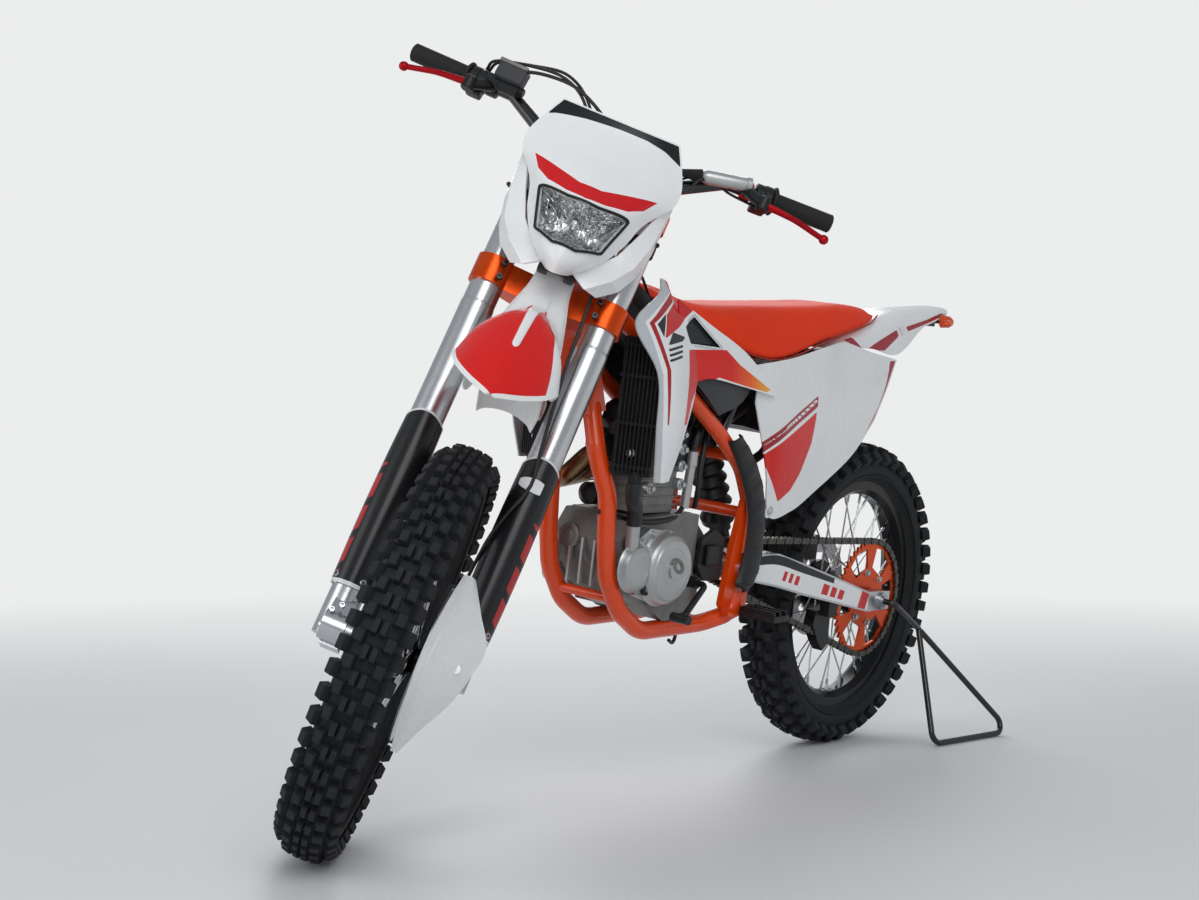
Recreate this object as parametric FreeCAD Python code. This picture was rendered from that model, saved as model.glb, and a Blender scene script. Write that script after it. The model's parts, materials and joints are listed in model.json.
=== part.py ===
"""An off-road motorcycle with wire wheels, parked on a triangular axle stand.

Everything is drawn in millimetres on the upright bike: X forward from the rear axle, Y to the rider's
left, Z up from the ground. The front end is drawn in a fork frame whose origin is the front axle, with
Z up along the fork legs and X forward, square to them. parked() then leans the whole bike onto its stand,
with the steering on its left stop, and sets both tyres on the floor.
"""
import FreeCAD, Part
import json
import math
import os

V = FreeCAD.Vector
UP = V(0, 0, 1)
LEFT = V(0, 1, 0)
ORIGIN = V(0, 0, 0)

# Driving dimensions of the whole bike
WHEELBASE = 1480.0
REAR_RADIUS = 338.0
FRONT_RADIUS = 350.0
RAKE = 26.5                  # degrees between the fork legs and the vertical
AXLE_OFFSET = 58.0           # front axle ahead of the steering axis
LEG_SETBACK = 33.0           # fork legs behind the front axle
LEG_SPREAD = 105.0           # each leg from the middle
LEAN = 8.5                   # degrees to the left, onto the stand
STEER = 38.0                 # degrees to the left, on the steering stop
SEAT_GAP = 0.3               # between pieces that rest on each other
FIT = 0.05                   # radial clearance of an axle in its bore
AXLE_RADIUS = 12.5
AXLE_HEAD = 17.0             # hexagon and washer on the front axle's left end

# Steering head and clamps, heights along the fork from the front axle
LOWER_CLAMP = (641.0, 689.0)
UPPER_CLAMP = (850.0, 882.0)
STEM_RADIUS = 14.0
HEAD_RADIUS = 31.0
CLAMP_EYE = 34.0
GUARD_RADIUS = 33.2
GUARD_WALL = 3.0
FORK_TUBE_RADIUS = 28.5
FORK_SLIDER_RADIUS = 24.0
FORK_TUBE = (330.0, 894.0)
LUG_INNER = 26.0             # reach of the axle lugs inwards and outwards of each leg
LUG_OUTER = 13.0
LUG_EYE = 25.0
BAR_CLAMP_X = -45.0
BAR_CLAMP_Z = 920.0
BAR_RADIUS = 14.2
GRIP_BAR_RADIUS = 11.1
BAR_BORE = 7.0
BAR_BORE_LENGTH = 60.0

# Swing arm, chain and brakes
PIVOT = (575.0, 440.0)
PIVOT_RADIUS = 26.0
CHAIN_LINE = 68.0
CHAIN_PITCH = 15.875
SPROCKET_TEETH = 50
SPROCKET_THICK = 5.2
COUNTERSHAFT = (655.0, 462.0)
COUNTERSHAFT_TEETH = 13
REAR_AXLE_HALF = 118.0
FRONT_AXLE_HALF = 119.0
AXLE_SOCKET = 7.0            # bore in each end of the rear axle
AXLE_SOCKET_DEPTH = 60.0

# Stand wire: its two feet and its bend on the floor frame, before the bike is moved to the middle
STAND_WIRE = 6.5
STAND_FRONT_FOOT = V(-58, 252, STAND_WIRE)
STAND_REAR_FOOT = V(-337, 302, STAND_WIRE)
STAND_BEND = V(-112, 188, 252)
STAND_OPENING = (V(-236, 205, 25), V(-90, 315, 110))

# Tyres: columns are lug pitches, tip radius, half width over the lugs, lug height, bead radius, rim flange
TYRES = {
    "front": dict(pitches=27, tip=FRONT_RADIUS, half=46.0, lug=13.0, bead=268.0, flange=279.0, rim_half=20.0),
    "rear": dict(pitches=22, tip=REAR_RADIUS, half=55.0, lug=15.0, bead=242.0, flange=254.0, rim_half=27.0),
}
# Wheels: columns are spoke count, hub flange offset and radius, hub ends, rim well radius
WHEELS = {
    "front": dict(spokes=36, flange_y=31.0, flange_r=34.0, ends=(-52.0, 53.0), well=250.0, seat_r=50.0),
    "rear": dict(spokes=36, flange_y=31.0, flange_r=44.0, ends=(-60.0, CHAIN_LINE - SPROCKET_THICK / 2),
                 well=224.0, seat_r=62.0),
}
SPOKE_RADIUS = 2.0
FRONT_DISC = dict(outer=130.0, inner=44.0, face=53.0, thick=3.0)
REAR_DISC = dict(outer=112.0, inner=50.0, face=-60.0, thick=4.0)


# Shape helpers

def rod(start, end, radius):
    """A round bar between two points."""
    along = end - start
    return Part.makeCylinder(radius, along.Length, start, along)


def rod_y(x, z, y0, y1, radius):
    """A round bar across the bike."""
    return rod(V(x, y0, z), V(x, y1, z), radius)


def taper(start, end, r0, r1):
    """A cone or tapered bar between two points."""
    along = end - start
    return Part.makeCone(r0, r1, along.Length, start, along)


def box(x, y, z):
    """A block from three (low, high) pairs."""
    return Part.makeBox(x[1] - x[0], y[1] - y[0], z[1] - z[0], V(x[0], y[0], z[0]))


def face_of(points):
    return Part.Face(Part.makePolygon(list(points) + [points[0]]))


def plate_xz(points, y0, y1):
    """A side-view outline of (x, z) points, as thick as y0 to y1."""
    return face_of([V(x, y0, z) for x, z in points]).extrude(V(0, y1 - y0, 0))


def plate_xy(points, z0, z1):
    """A plan outline of (x, y) points between two heights."""
    return face_of([V(x, y, z0) for x, y in points]).extrude(V(0, 0, z1 - z0))


def turned(profile, axis=LEFT, centre=ORIGIN, angle=360.0):
    """A (distance along the axis, radius) outline turned about the axis. The axis is Y or Z."""
    out = V(1, 0, 0)
    flat = face_of([centre + axis * a + out * r for a, r in profile])
    return flat.revolve(centre, axis, angle)


def ruled(sections):
    """A solid skinned with straight lines through closed sections of equal point counts."""
    wires = [Part.makePolygon(list(s) + [s[0]]) for s in sections]
    return Part.makeLoft(wires, True, True)


def joined(first, *others):
    """One solid from pieces that overlap."""
    flat = [s for o in others for s in (o if isinstance(o, (list, tuple)) else [o])]
    return first.fuse(flat).removeSplitter() if flat else first


def both_sides(shape):
    """The piece and its mirror image on the other side of the bike."""
    return [shape, shape.mirror(ORIGIN, LEFT)]


def apart(*shapes):
    """Like pieces that don't touch, in one node."""
    return Part.makeCompound([s for shape in shapes for s in (shape.Solids or [shape])])


def bent_bar(points, radius, bend=0.0):
    """A round bar along a route of straight runs joined by tangent arcs.

    A bend radius of 0 makes each arc as large as its two runs allow.
    """
    pieces = []
    here = points[0]
    for before, corner, after in zip(points, points[1:], points[2:]):
        back, ahead = before - corner, after - corner
        shorter = min(back.Length, ahead.Length)
        half_turn = (math.pi - back.getAngle(ahead)) / 2
        if half_turn < 0.005:
            continue
        arc_radius = 0.45 * shorter / math.tan(half_turn)
        if bend:
            arc_radius = min(bend, arc_radius)
        trim = arc_radius * math.tan(half_turn)
        back, ahead = back.normalize(), ahead.normalize()
        start, end = corner + back * trim, corner + ahead * trim
        centre = corner + (back + ahead).normalize() * (arc_radius / math.cos(half_turn))
        if (start - here).Length > 0.01:
            pieces.append(rod(here, start, radius))
        ring = Part.Face(Part.Wire(Part.Circle(start, back, radius).toShape()))
        pieces.append(ring.revolve(centre, ahead.cross(back), 2 * math.degrees(half_turn)))
        here = end
    pieces.append(rod(here, points[-1], radius))
    return joined(pieces[0], pieces[1:])


def polygon_bar(start, end, radius, sides=6):
    """A thin straight bar of a few flat sides, for wire that repeats many times."""
    along = end - start
    across = along.cross(UP if abs(along.z) < 0.9 * along.Length else LEFT).normalize()
    other = along.cross(across).normalize()
    turn = [2 * math.pi * i / sides for i in range(sides)]
    ring = [start + across * (radius * math.cos(a)) + other * (radius * math.sin(a)) for a in turn]
    return face_of(ring).extrude(along)


def closed_skin(faces):
    """A solid from flat faces that meet edge to edge."""
    shell = Part.Shell(faces)
    shell.sewShape()
    solid = Part.Solid(shell)
    if solid.Volume < 0:
        solid.reverse()
    return solid


def moulding(rows, wall):
    """A plastic skin of even wall through a grid of points, its inner face behind the outer one."""
    def normal(i, j):
        """Average direction out of the skin at a grid point."""
        i0, i1 = max(i - 1, 0), min(i + 1, len(rows) - 1)
        j0, j1 = max(j - 1, 0), min(j + 1, len(rows[0]) - 1)
        return (rows[i1][j] - rows[i0][j]).cross(rows[i][j1] - rows[i][j0]).normalize()

    inner = [[p - normal(i, j) * wall for j, p in enumerate(row)] for i, row in enumerate(rows)]
    faces = []

    def cell(a, b, c, d):
        faces.extend([face_of([a, b, c]), face_of([a, c, d])])

    last_i, last_j = len(rows) - 1, len(rows[0]) - 1
    for i in range(last_i):
        for j in range(last_j):
            for grid in (rows, inner):
                cell(grid[i][j], grid[i + 1][j], grid[i + 1][j + 1], grid[i][j + 1])
        for j in (0, last_j):
            cell(rows[i][j], rows[i + 1][j], inner[i + 1][j], inner[i][j])
    for j in range(last_j):
        for i in (0, last_i):
            cell(rows[i][j], rows[i][j + 1], inner[i][j + 1], inner[i][j])
    return closed_skin(faces)


def grid(table, side=1):
    """Rows of (x, y, z) as points, with y on the given side."""
    return [[V(x, side * y, z) for x, y, z in row] for row in table]


def arched(table):
    """Rows of points over the middle of the bike from (x, [(y, z), ...]), the left half from the middle out."""
    rows = []
    for x, half in table:
        rows.append([V(x, -y, z) for y, z in reversed(half) if y > 0] + [V(x, y, z) for y, z in half])
    return rows


def mirrored(shape, side):
    return shape if side > 0 else shape.mirror(ORIGIN, LEFT)


# Frames

FORK_FRAME = FreeCAD.Placement(V(WHEELBASE, 0, FRONT_RADIUS), FreeCAD.Rotation(LEFT, -RAKE))
STEER_AXIS = FORK_FRAME.Rotation.multVec(UP)
STEER_POINT = FORK_FRAME.multVec(V(-AXLE_OFFSET, 0, 0))
STEERED = FreeCAD.Placement(ORIGIN, FreeCAD.Rotation(STEER_AXIS, STEER), STEER_POINT)


def on_fork(x, y, z):
    """A point of the fork frame, on the bike with its steering straight."""
    return FORK_FRAME.multVec(V(x, y, z))


def lowest(centre, axis, spec, move):
    """Height of the lowest point of a tyre once the bike is moved."""
    hub = move.multVec(centre)
    across = move.Rotation.multVec(axis)
    reach = max(r * math.sqrt(1 - across.z ** 2) + y * abs(across.z) for y, r in lug_tips(spec))
    return hub.z - reach


def parked():
    """The move from the upright bike to the bike leaning on the floor, found by pitching it a little."""
    front = STEERED.multVec(on_fork(0, 0, 0))
    front_across = STEERED.Rotation.multVec(LEFT)
    rear = V(0, 0, REAR_RADIUS)
    lean = FreeCAD.Placement(ORIGIN, FreeCAD.Rotation(V(1, 0, 0), -LEAN))
    pitch = 0.0
    for _ in range(12):
        move = FreeCAD.Placement(ORIGIN, FreeCAD.Rotation(LEFT, pitch)).multiply(lean)
        gap = lowest(front, front_across, TYRES["front"], move) - lowest(rear, LEFT, TYRES["rear"], move)
        pitch += math.degrees(gap / WHEELBASE)
    drop = lowest(rear, LEFT, TYRES["rear"], move)
    return FreeCAD.Placement(V(0, 0, -drop), FreeCAD.Rotation()).multiply(move)


# Tyres, rims and hubs, drawn about Y at the origin

def lug_tips(spec):
    """(distance from the middle, radius) of the corners of the lugs, which can touch the floor."""
    half, tip, lug = spec["half"], spec["tip"], spec["lug"]
    base = tip - lug
    return [(0.24 * half, tip), (0.28 * half, tip - 0.01 * half), (0.62 * half, tip - 0.13 * half),
            (0.66 * half + 0.35 * lug, tip - 0.2 * half), (half, base - 0.5 * half + 0.35 * lug)]


def tyre(spec):
    """A knobbly tyre: a faceted carcass whose bands stand up as lugs, in turn around the wheel."""
    half, tip, lug, bead = spec["half"], spec["tip"], spec["lug"], spec["bead"]
    body = half - 0.6 * lug
    base = tip - lug
    # Carcass outline (y, radius) from the left bead over the tread, whose five bands can carry a lug
    bead_y = spec["rim_half"] - 2.2
    left = [(bead_y, bead + 0.8), (bead_y + 1.0, spec["flange"] + 1.5), (body, base - 0.5 * half),
            (0.66 * half, base - 0.09 * half), (0.26 * half, base)]
    outline = left + other_half(left)
    first_band = 2
    # Lug tops: the two ends of each band moved out to the tip
    inner, *corners, outer = lug_tips(spec)
    flank, shoulder = corners[1::-1], [outer, corners[2]]
    tops = [shoulder, flank, [inner] + other_half([inner]), other_half(flank), other_half(shoulder)]
    raised = [(0, 2, 4), (1, 3)]
    sectors = 2 * spec["pitches"]
    step = 2 * math.pi / sectors

    def at(y, r, k):
        return V(r * math.sin(k * step), y, -r * math.cos(k * step))

    faces = []
    for k in range(sectors):
        chain = []
        for i, point in enumerate(outline):
            chain.append(point)
            if i - first_band in raised[k % 2]:
                chain += tops[i - first_band]
        for (y0, r0), (y1, r1) in zip(chain, chain[1:] + chain[:1]):
            faces.append(face_of([at(y0, r0, k), at(y0, r0, k + 1), at(y1, r1, k + 1), at(y1, r1, k)]))
        for band, top in enumerate(tops):
            foot = [outline[first_band + band], outline[first_band + band + 1]]
            faces.append(face_of([at(y, r, k) for y, r in (foot[0], top[0], top[1], foot[1])]))
    return closed_skin(faces)


def other_half(points):
    """The mirror image of an outline's left half, to go on after it."""
    return [(-y, r) for y, r in reversed(points)]


def rim(spec, well):
    """A dropped-centre rim, turned from its section."""
    w, seat, flange = spec["rim_half"], spec["bead"], spec["flange"]
    section = [(-w, flange), (-w + 2.0, seat), (w - 2.0, seat), (w, flange),
               (w, seat - 7.0), (0.5 * w, well), (-0.5 * w, well), (-w, seat - 7.0)]
    return turned(section)


def hub(wheel):
    """A hub with two flanges, a brake or sprocket seat at its ends, and its crossed spokes."""
    y, r = wheel["flange_y"], wheel["flange_r"]
    right, left = wheel["ends"]
    barrel = 0.62 * r
    bore = AXLE_RADIUS + FIT
    seat = wheel["seat_r"]
    section = [(right, bore), (right, seat if right == REAR_DISC["face"] else barrel), (-y - 9, barrel), (-y - 5, r),
               (-y + 5, r), (-y + 9, barrel), (y - 9, barrel), (y - 5, r), (y + 5, r), (y + 9, barrel),
               (left - 5, barrel), (left - 5, seat), (left, seat), (left, bore)]
    body = turned(section)
    # Spoke holes: columns are side, offset from the flange's middle, rim offset, and lead or trail
    holes = [(1, 2.6, 6.0, 1), (-1, 2.6, 6.0, 1), (1, -2.6, 1.4, -1), (-1, -2.6, 1.4, -1)]
    spokes = []
    for k in range(wheel["spokes"]):
        side, off, rim_y, lead = holes[k % len(holes)]
        at_rim = 2 * math.pi * k / wheel["spokes"]
        at_hub = at_rim + lead * math.radians(62)
        r_hub, r_rim = r - 3.0, wheel["well"] - 0.7
        start = V(r_hub * math.cos(at_hub), side * (y + off), r_hub * math.sin(at_hub))
        end = V(r_rim * math.cos(at_rim), side * rim_y, r_rim * math.sin(at_rim))
        spokes.append(polygon_bar(start, end, SPOKE_RADIUS))
    return joined(body, spokes)


def brake_disc(disc, windows=8):
    """A flat brake disc with a ring of slots."""
    y0, y1 = disc["face"], disc["face"] + math.copysign(disc["thick"], disc["face"])
    ring = turned([(y0, disc["inner"]), (y0, disc["outer"]), (y1, disc["outer"]), (y1, disc["inner"])])
    r0, r1 = disc["inner"] + 14, disc["outer"] - 32
    cuts = []
    for k in range(windows):
        a = 2 * math.pi * k / windows
        half = math.pi / windows * 0.62
        corners = [(r0, a - half), (r1, a - half * 0.8), (r1, a + half * 0.8), (r0, a + half)]
        outline = [(r * math.cos(t), r * math.sin(t)) for r, t in corners]
        cuts.append(plate_xz(outline, min(y0, y1) - 1, max(y0, y1) + 1))
    return ring.cut(cuts)


def sprocket():
    """The rear sprocket: teeth on the pitch circle and six windows."""
    pitch_r = CHAIN_PITCH / (2 * math.sin(math.pi / SPROCKET_TEETH))
    root, tip = pitch_r - 4.8, pitch_r + 4.0
    step = 2 * math.pi / SPROCKET_TEETH
    outline = []
    for k in range(SPROCKET_TEETH):
        for share, radius in ((0.0, root), (0.22, root), (0.5, tip), (0.72, tip)):
            a = (k + share) * step
            outline.append((radius * math.cos(a), radius * math.sin(a)))
    y0, y1 = CHAIN_LINE - SPROCKET_THICK / 2, CHAIN_LINE + SPROCKET_THICK / 2
    body = plate_xz(outline, y0, y1)
    windows = [rod_y(0, 0, y0 - 1, y1 + 1, AXLE_RADIUS + 8)]
    arms = 6
    for k in range(arms):
        a = 2 * math.pi * k / arms
        half = math.pi / arms * 0.72
        corners = [(WHEELS["rear"]["seat_r"] + 6, a - half), (root - 10, a - half * 0.9), (root - 4, a),
                   (root - 10, a + half * 0.9), (WHEELS["rear"]["seat_r"] + 6, a + half)]
        windows.append(plate_xz([(r * math.cos(t), r * math.sin(t)) for r, t in corners], y0 - 1, y1 + 1))
    return body.cut(windows)


def belt_route(links):
    """Chain pins as (x, z, outward x, outward z), evenly along the loop round both sprockets."""
    big = CHAIN_PITCH / (2 * math.sin(math.pi / SPROCKET_TEETH))
    small = CHAIN_PITCH / (2 * math.sin(math.pi / COUNTERSHAFT_TEETH))
    (x0, z0), (x1, z1) = (0.0, REAR_RADIUS), COUNTERSHAFT
    span = math.hypot(x1 - x0, z1 - z0)
    line = math.atan2(z1 - z0, x1 - x0)
    lap = math.acos((big - small) / span)
    run = math.sqrt(span ** 2 - (big - small) ** 2)
    pieces = [run, 2 * lap * small, run, 2 * (math.pi - lap) * big]
    total = sum(pieces)
    pins = []
    for k in range(links):
        s = k * total / links
        if s < pieces[0]:
            a = line + lap
            t = s / run
            x = x0 + big * math.cos(a) + t * (x1 + small * math.cos(a) - x0 - big * math.cos(a))
            z = z0 + big * math.sin(a) + t * (z1 + small * math.sin(a) - z0 - big * math.sin(a))
        elif s < sum(pieces[:2]):
            a = line + lap - (s - pieces[0]) / small
            x, z = x1 + small * math.cos(a), z1 + small * math.sin(a)
        elif s < sum(pieces[:3]):
            a = line - lap
            t = (s - sum(pieces[:2])) / run
            x = x1 + small * math.cos(a) + t * (x0 + big * math.cos(a) - x1 - small * math.cos(a))
            z = z1 + small * math.sin(a) + t * (z0 + big * math.sin(a) - z1 - small * math.sin(a))
        else:
            a = line - lap - (s - sum(pieces[:3])) / big
            x, z = x0 + big * math.cos(a), z0 + big * math.sin(a)
        pins.append((x, z, math.cos(a), math.sin(a)))
    return pins


CHAIN_LINKS = 112
CHAIN_HEIGHT = 6.8
CHAIN_WIDTHS = (7.4, 5.8)


def drive_chain():
    """The chain as one loop: a channel open towards the teeth, wide and narrow at every other pin."""
    slot, web = 3.9, 5.4
    pins = belt_route(CHAIN_LINKS)

    def corner(k, y, h):
        x, z, nx, nz = pins[k % CHAIN_LINKS]
        return V(x + h * nx, CHAIN_LINE + y, z + h * nz)

    def section(k):
        w, h = CHAIN_WIDTHS[k % 2], CHAIN_HEIGHT
        outline = [(w, -h), (w, h), (-w, h), (-w, -h), (-slot, -h), (-slot, web), (slot, web), (slot, -h)]
        return [corner(k, y, z) for y, z in outline]

    faces = []
    for k in range(CHAIN_LINKS):
        here, there = section(k), section(k + 1)
        for i in range(len(here)):
            j = (i + 1) % len(here)
            faces += [face_of([here[i], there[i], there[j]]), face_of([here[i], there[j], here[j]])]
    return closed_skin(faces)


# Chassis

def mirror_points(points):
    return [V(p.x, -p.y, p.z) for p in points]


RAIL = [V(1066, 24, 985), V(985, 52, 905), V(850, 94, 800), V(700, 97, 706), V(612, 97, 642), V(562, 97, 560),
        V(566, 97, 472)]
CRADLE = [V(1000, 16, 752), V(1006, 48, 660), V(985, 66, 590), V(976, 67, 505), V(962, 67, 440), V(915, 67, 374),
          V(845, 67, 331), V(640, 67, 331), V(586, 94, 352), V(572, 96, 394)]
RAIL_RADIUS = 15.0
CRADLE_RADIUS = 17.0
PLATE_Y = (88.3, 102.0)
PEG_Y = 116.0                # outer face of the brackets for the pegs and the brake lever
SHOCK_TOP = (622, 742)
SHOCK_PIN = 6.0
SEAT_RAIL = [V(690, 97, 714), V(640, 96, 800), V(560, 90, 836), V(358, 74, 862), V(150, 54, 886)]
SEAT_STRUT = [V(600, 97, 642), V(540, 97, 668), V(330, 74, 858)]
SEAT_RAIL_RADIUS = 9.0
PIVOT_PLATE = [(545, 350), (600, 338), (628, 372), (612, 480), (590, 575), (548, 575), (536, 480)]


def on_route(route, x):
    """The point of a route at a given x."""
    for a, b in zip(route, route[1:]):
        if min(a.x, b.x) <= x <= max(a.x, b.x):
            return a + (b - a) * ((x - a.x) / (b.x - a.x))
    raise ValueError("the route doesn't reach x = %g" % x)


def main_frame():
    """The orange frame: head tube, down tube, two rails and a double cradle, with pivot plates."""
    head_low, head_high = LOWER_CLAMP[1] + SEAT_GAP, UPPER_CLAMP[0] - SEAT_GAP
    low, high = on_fork(-AXLE_OFFSET, 0, head_low), on_fork(-AXLE_OFFSET, 0, head_high)
    pieces = [rod(low, high, HEAD_RADIUS)]
    neck = on_fork(-AXLE_OFFSET - 6, 0, head_low + 42)
    foot = CRADLE[0]
    down = ruled([[V(neck.x + 18, -26, neck.z), V(neck.x + 18, 26, neck.z), V(neck.x - 34, 26, neck.z + 6),
                   V(neck.x - 34, -26, neck.z + 6)],
                  [V(foot.x + 20, -34, foot.z - 24), V(foot.x + 20, 34, foot.z - 24), V(foot.x - 24, 34, foot.z - 14),
                   V(foot.x - 24, -34, foot.z - 14)]])
    pieces.append(down)
    for side in (1, -1):
        route = RAIL if side > 0 else mirror_points(RAIL)
        pieces.append(bent_bar(route, RAIL_RADIUS, 120))
        route = CRADLE if side > 0 else mirror_points(CRADLE)
        pieces.append(bent_bar(route, CRADLE_RADIUS, 90))
        y0, y1 = sorted((side * PLATE_Y[0], side * PLATE_Y[1]))
        pieces.append(plate_xz(PIVOT_PLATE, y0, y1))
        pieces.append(box((548, 624), sorted((side * 100, side * PEG_Y)), (352, 366)))
    # Cross members: columns are x, z, half width, radius
    for x, z, half, radius in ((566, 548, 97, 12), (640, 331, 67, 12), (935, 398, 64, 9), (638, 662, 96, 11)):
        pieces.append(rod_y(x, z, -half, half, radius))
    # Tower and pin for the top of the shock absorber
    pieces.append(plate_xz([(622, 656), (654, 662), (636, 758), (610, 754)], -67, -60))
    pieces.append(rod_y(SHOCK_TOP[0], SHOCK_TOP[1], -66, -8, SHOCK_PIN))
    # Gusset between the rails behind the head
    pieces.append(plate_xz([(1066, 1000), (1066, 930), (985, 880), (965, 905)], -12, 12))
    body = joined(pieces[0], pieces[1:])
    stem = rod(low - STEER_AXIS * 5, high + STEER_AXIS * 5, STEM_RADIUS + FIT)
    outside = rod(low - STEER_AXIS * 80, low, 80)
    bolt = rod_y(PIVOT[0], PIVOT[1], -PLATE_Y[1] - 1, PLATE_Y[1] + 1, 9 + FIT)
    return body.cut([stem, outside, bolt])


# One arm: columns are x, z low, z high, y inner, y outer
def arm_line(x):
    """Height of the straight line from the rear axle to the arm's pivot."""
    return REAR_RADIUS + (PIVOT[1] - REAR_RADIUS) * x / PIVOT[0]


# columns: x, lower and upper edge over the line from axle to pivot, inner and outer side
ARM_SHAPE = [(575, -20, 22, 46, 87.9), (526, -21, 32, 50, 87.9), (430, -20, 48, 60, 96), (330, -24.5, 39.5, 68, 103),
             (190, -27.7, 26.3, 79, 107), (60, -30.6, 13.4, 81, 108), (-34, -14, 26, 81, 108)]
ARM = [(x, arm_line(x) + low, arm_line(x) + high, inner, outer) for x, low, high, inner, outer in ARM_SHAPE]
# The bridge between the arms: columns are x, half width, lower and upper edge over the same line
ARM_BRIDGE = [(x, y, arm_line(x) + low, arm_line(x) + high) for x, y, low, high in ((500, 58, -10.7, 35.3),
                                                                                    (398, 64, -6.6, 41.4))]


def arm_height(x, column):
    """Height of the arm's lower (1) or upper (2) edge at a place along it."""
    for front, back in zip(ARM, ARM[1:]):
        if back[0] <= x <= front[0]:
            share = (x - back[0]) / (front[0] - back[0])
            return back[column] + share * (front[column] - back[column])
    raise ValueError("the arm doesn't reach x = %g" % x)


def swing_arm():
    """Two tapered arms joined ahead of the tyre, with a pivot tube in front and an axle eye behind."""
    left = ruled([[V(x, y0, z0), V(x, y1, z0), V(x, y1, z1), V(x, y0, z1)] for x, z0, z1, y0, y1 in ARM])
    boss = rod_y(PIVOT[0], PIVOT[1], 42, PLATE_Y[0] - SEAT_GAP, PIVOT_RADIUS)
    arms = both_sides(left.fuse(boss))
    bridge = ruled([[V(x, -y, z0), V(x, y, z0), V(x, y, z1), V(x, -y, z1)]
                    for x, y, z0, z1 in ARM_BRIDGE])
    tube = rod_y(PIVOT[0], PIVOT[1], -60, 60, PIVOT_RADIUS - 5)
    body = joined(arms[0], arms[1], bridge, tube)
    axle = rod_y(0, REAR_RADIUS, -140, 140, AXLE_RADIUS + FIT)
    bolt = rod_y(PIVOT[0], PIVOT[1], -140, 140, 9 + FIT)
    return body.cut([axle, bolt])


def pivot_bolt():
    half = PLATE_Y[1]
    return joined(rod_y(PIVOT[0], PIVOT[1], -half, half, 9), rod_y(PIVOT[0], PIVOT[1], half, half + 5, 15),
                  rod_y(PIVOT[0], PIVOT[1], -half - 5, -half, 15))


def rear_axle():
    """The hollow axle with its nuts and spacers, and a socket in each end."""
    inner = 81.0 - SEAT_GAP
    outer = 108.0
    body = rod_y(0, REAR_RADIUS, -REAR_AXLE_HALF, REAR_AXLE_HALF, AXLE_RADIUS)
    nuts = both_sides(rod_y(0, REAR_RADIUS, outer + SEAT_GAP, REAR_AXLE_HALF - 4, 19))
    left = rod_y(0, REAR_RADIUS, CHAIN_LINE - SPROCKET_THICK / 2 + SEAT_GAP, inner, 17)
    right = rod_y(0, REAR_RADIUS, -inner, WHEELS["rear"]["ends"][0] - SEAT_GAP, 17)
    sockets = [rod_y(0, REAR_RADIUS, REAR_AXLE_HALF - AXLE_SOCKET_DEPTH, REAR_AXLE_HALF + 1, AXLE_SOCKET),
               rod_y(0, REAR_RADIUS, -REAR_AXLE_HALF - 1, AXLE_SOCKET_DEPTH - REAR_AXLE_HALF, AXLE_SOCKET)]
    return joined(body, nuts[0], nuts[1], left, right).cut(sockets)


def prop_stand(move):
    """The bent-wire stand: a pin in the axle, an arm down to the bend and a triangle on the floor."""
    back = move.inverse()
    front, rear, bend = (back.multVec(p) for p in (STAND_FRONT_FOOT, STAND_REAR_FOOT, STAND_BEND))
    start = V(0, REAR_AXLE_HALF - AXLE_SOCKET_DEPTH + 6, REAR_RADIUS)
    out = V(0, REAR_AXLE_HALF + 22, REAR_RADIUS)
    pin = bent_bar([start, out, bend], STAND_WIRE, 14)
    triangle = bent_bar([bend, front, rear, bend + (rear - bend) * 0.02], STAND_WIRE, 22)
    return joined(pin, triangle, Part.makeSphere(STAND_WIRE * 1.05, bend))


def crankcase():
    """Engine cases between the cradle tubes, resting on the lower rails, with the drive sprocket's shaft."""
    floor = 331 + CRADLE_RADIUS + SEAT_GAP
    side = [(650, 372), (684, floor), (788, floor), (884, 402), (930, 456), (944, 505), (915, 545), (760, 552),
            (700, 548), (645, 500)]
    inner = plate_xz(side, -80, 55)
    outer = plate_xz([(706, 372), (712, floor), (788, floor), (884, 402), (930, 456), (944, 505), (915, 545),
                      (760, 552), (706, 548)], 50, 78)
    ribs = [plate_xz([(x, 520), (x + 8, 520), (x + 8, 549), (x, 549)], -70, 70) for x in (720, 900)]
    x, z = COUNTERSHAFT
    drive = [rod_y(x, z, 50, 73, 12), rod_y(x, z, CHAIN_LINE - 2.6, CHAIN_LINE + 2.6, 34.5)]
    return joined(inner, outer, ribs, drive)


# Water hose: where its spigot on the left cover ends and the way it points
HOSE_END = V(940, 98, 540)
HOSE_AXIS = V(10, 6, 60).normalize()


def ignition_cover():
    """The left cover: a big dome over the generator and a smaller one in front, with a hose spigot."""
    y0 = 78 + SEAT_GAP
    base = plate_xz([(778, 400), (860, 392), (905, 408), (938, 442), (940, 486), (912, 512), (880, 530),
                     (800, 520), (765, 465)], y0, 94)
    dome = turned([(94, 0), (94, 66), (112, 64), (122, 55), (122, 0)], centre=V(832, 0, 455))
    plug = rod_y(832, 455, 122, 126, 15)
    front = turned([(94, 0), (94, 42), (106, 40), (112, 31), (112, 0)], centre=V(922, 0, 460))
    spigot = rod(HOSE_END - HOSE_AXIS * 60, HOSE_END, 12)
    drain = rod_y(886, 420, 94, 104, 11)
    return joined(base, dome, plug, front, spigot, drain)


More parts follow.
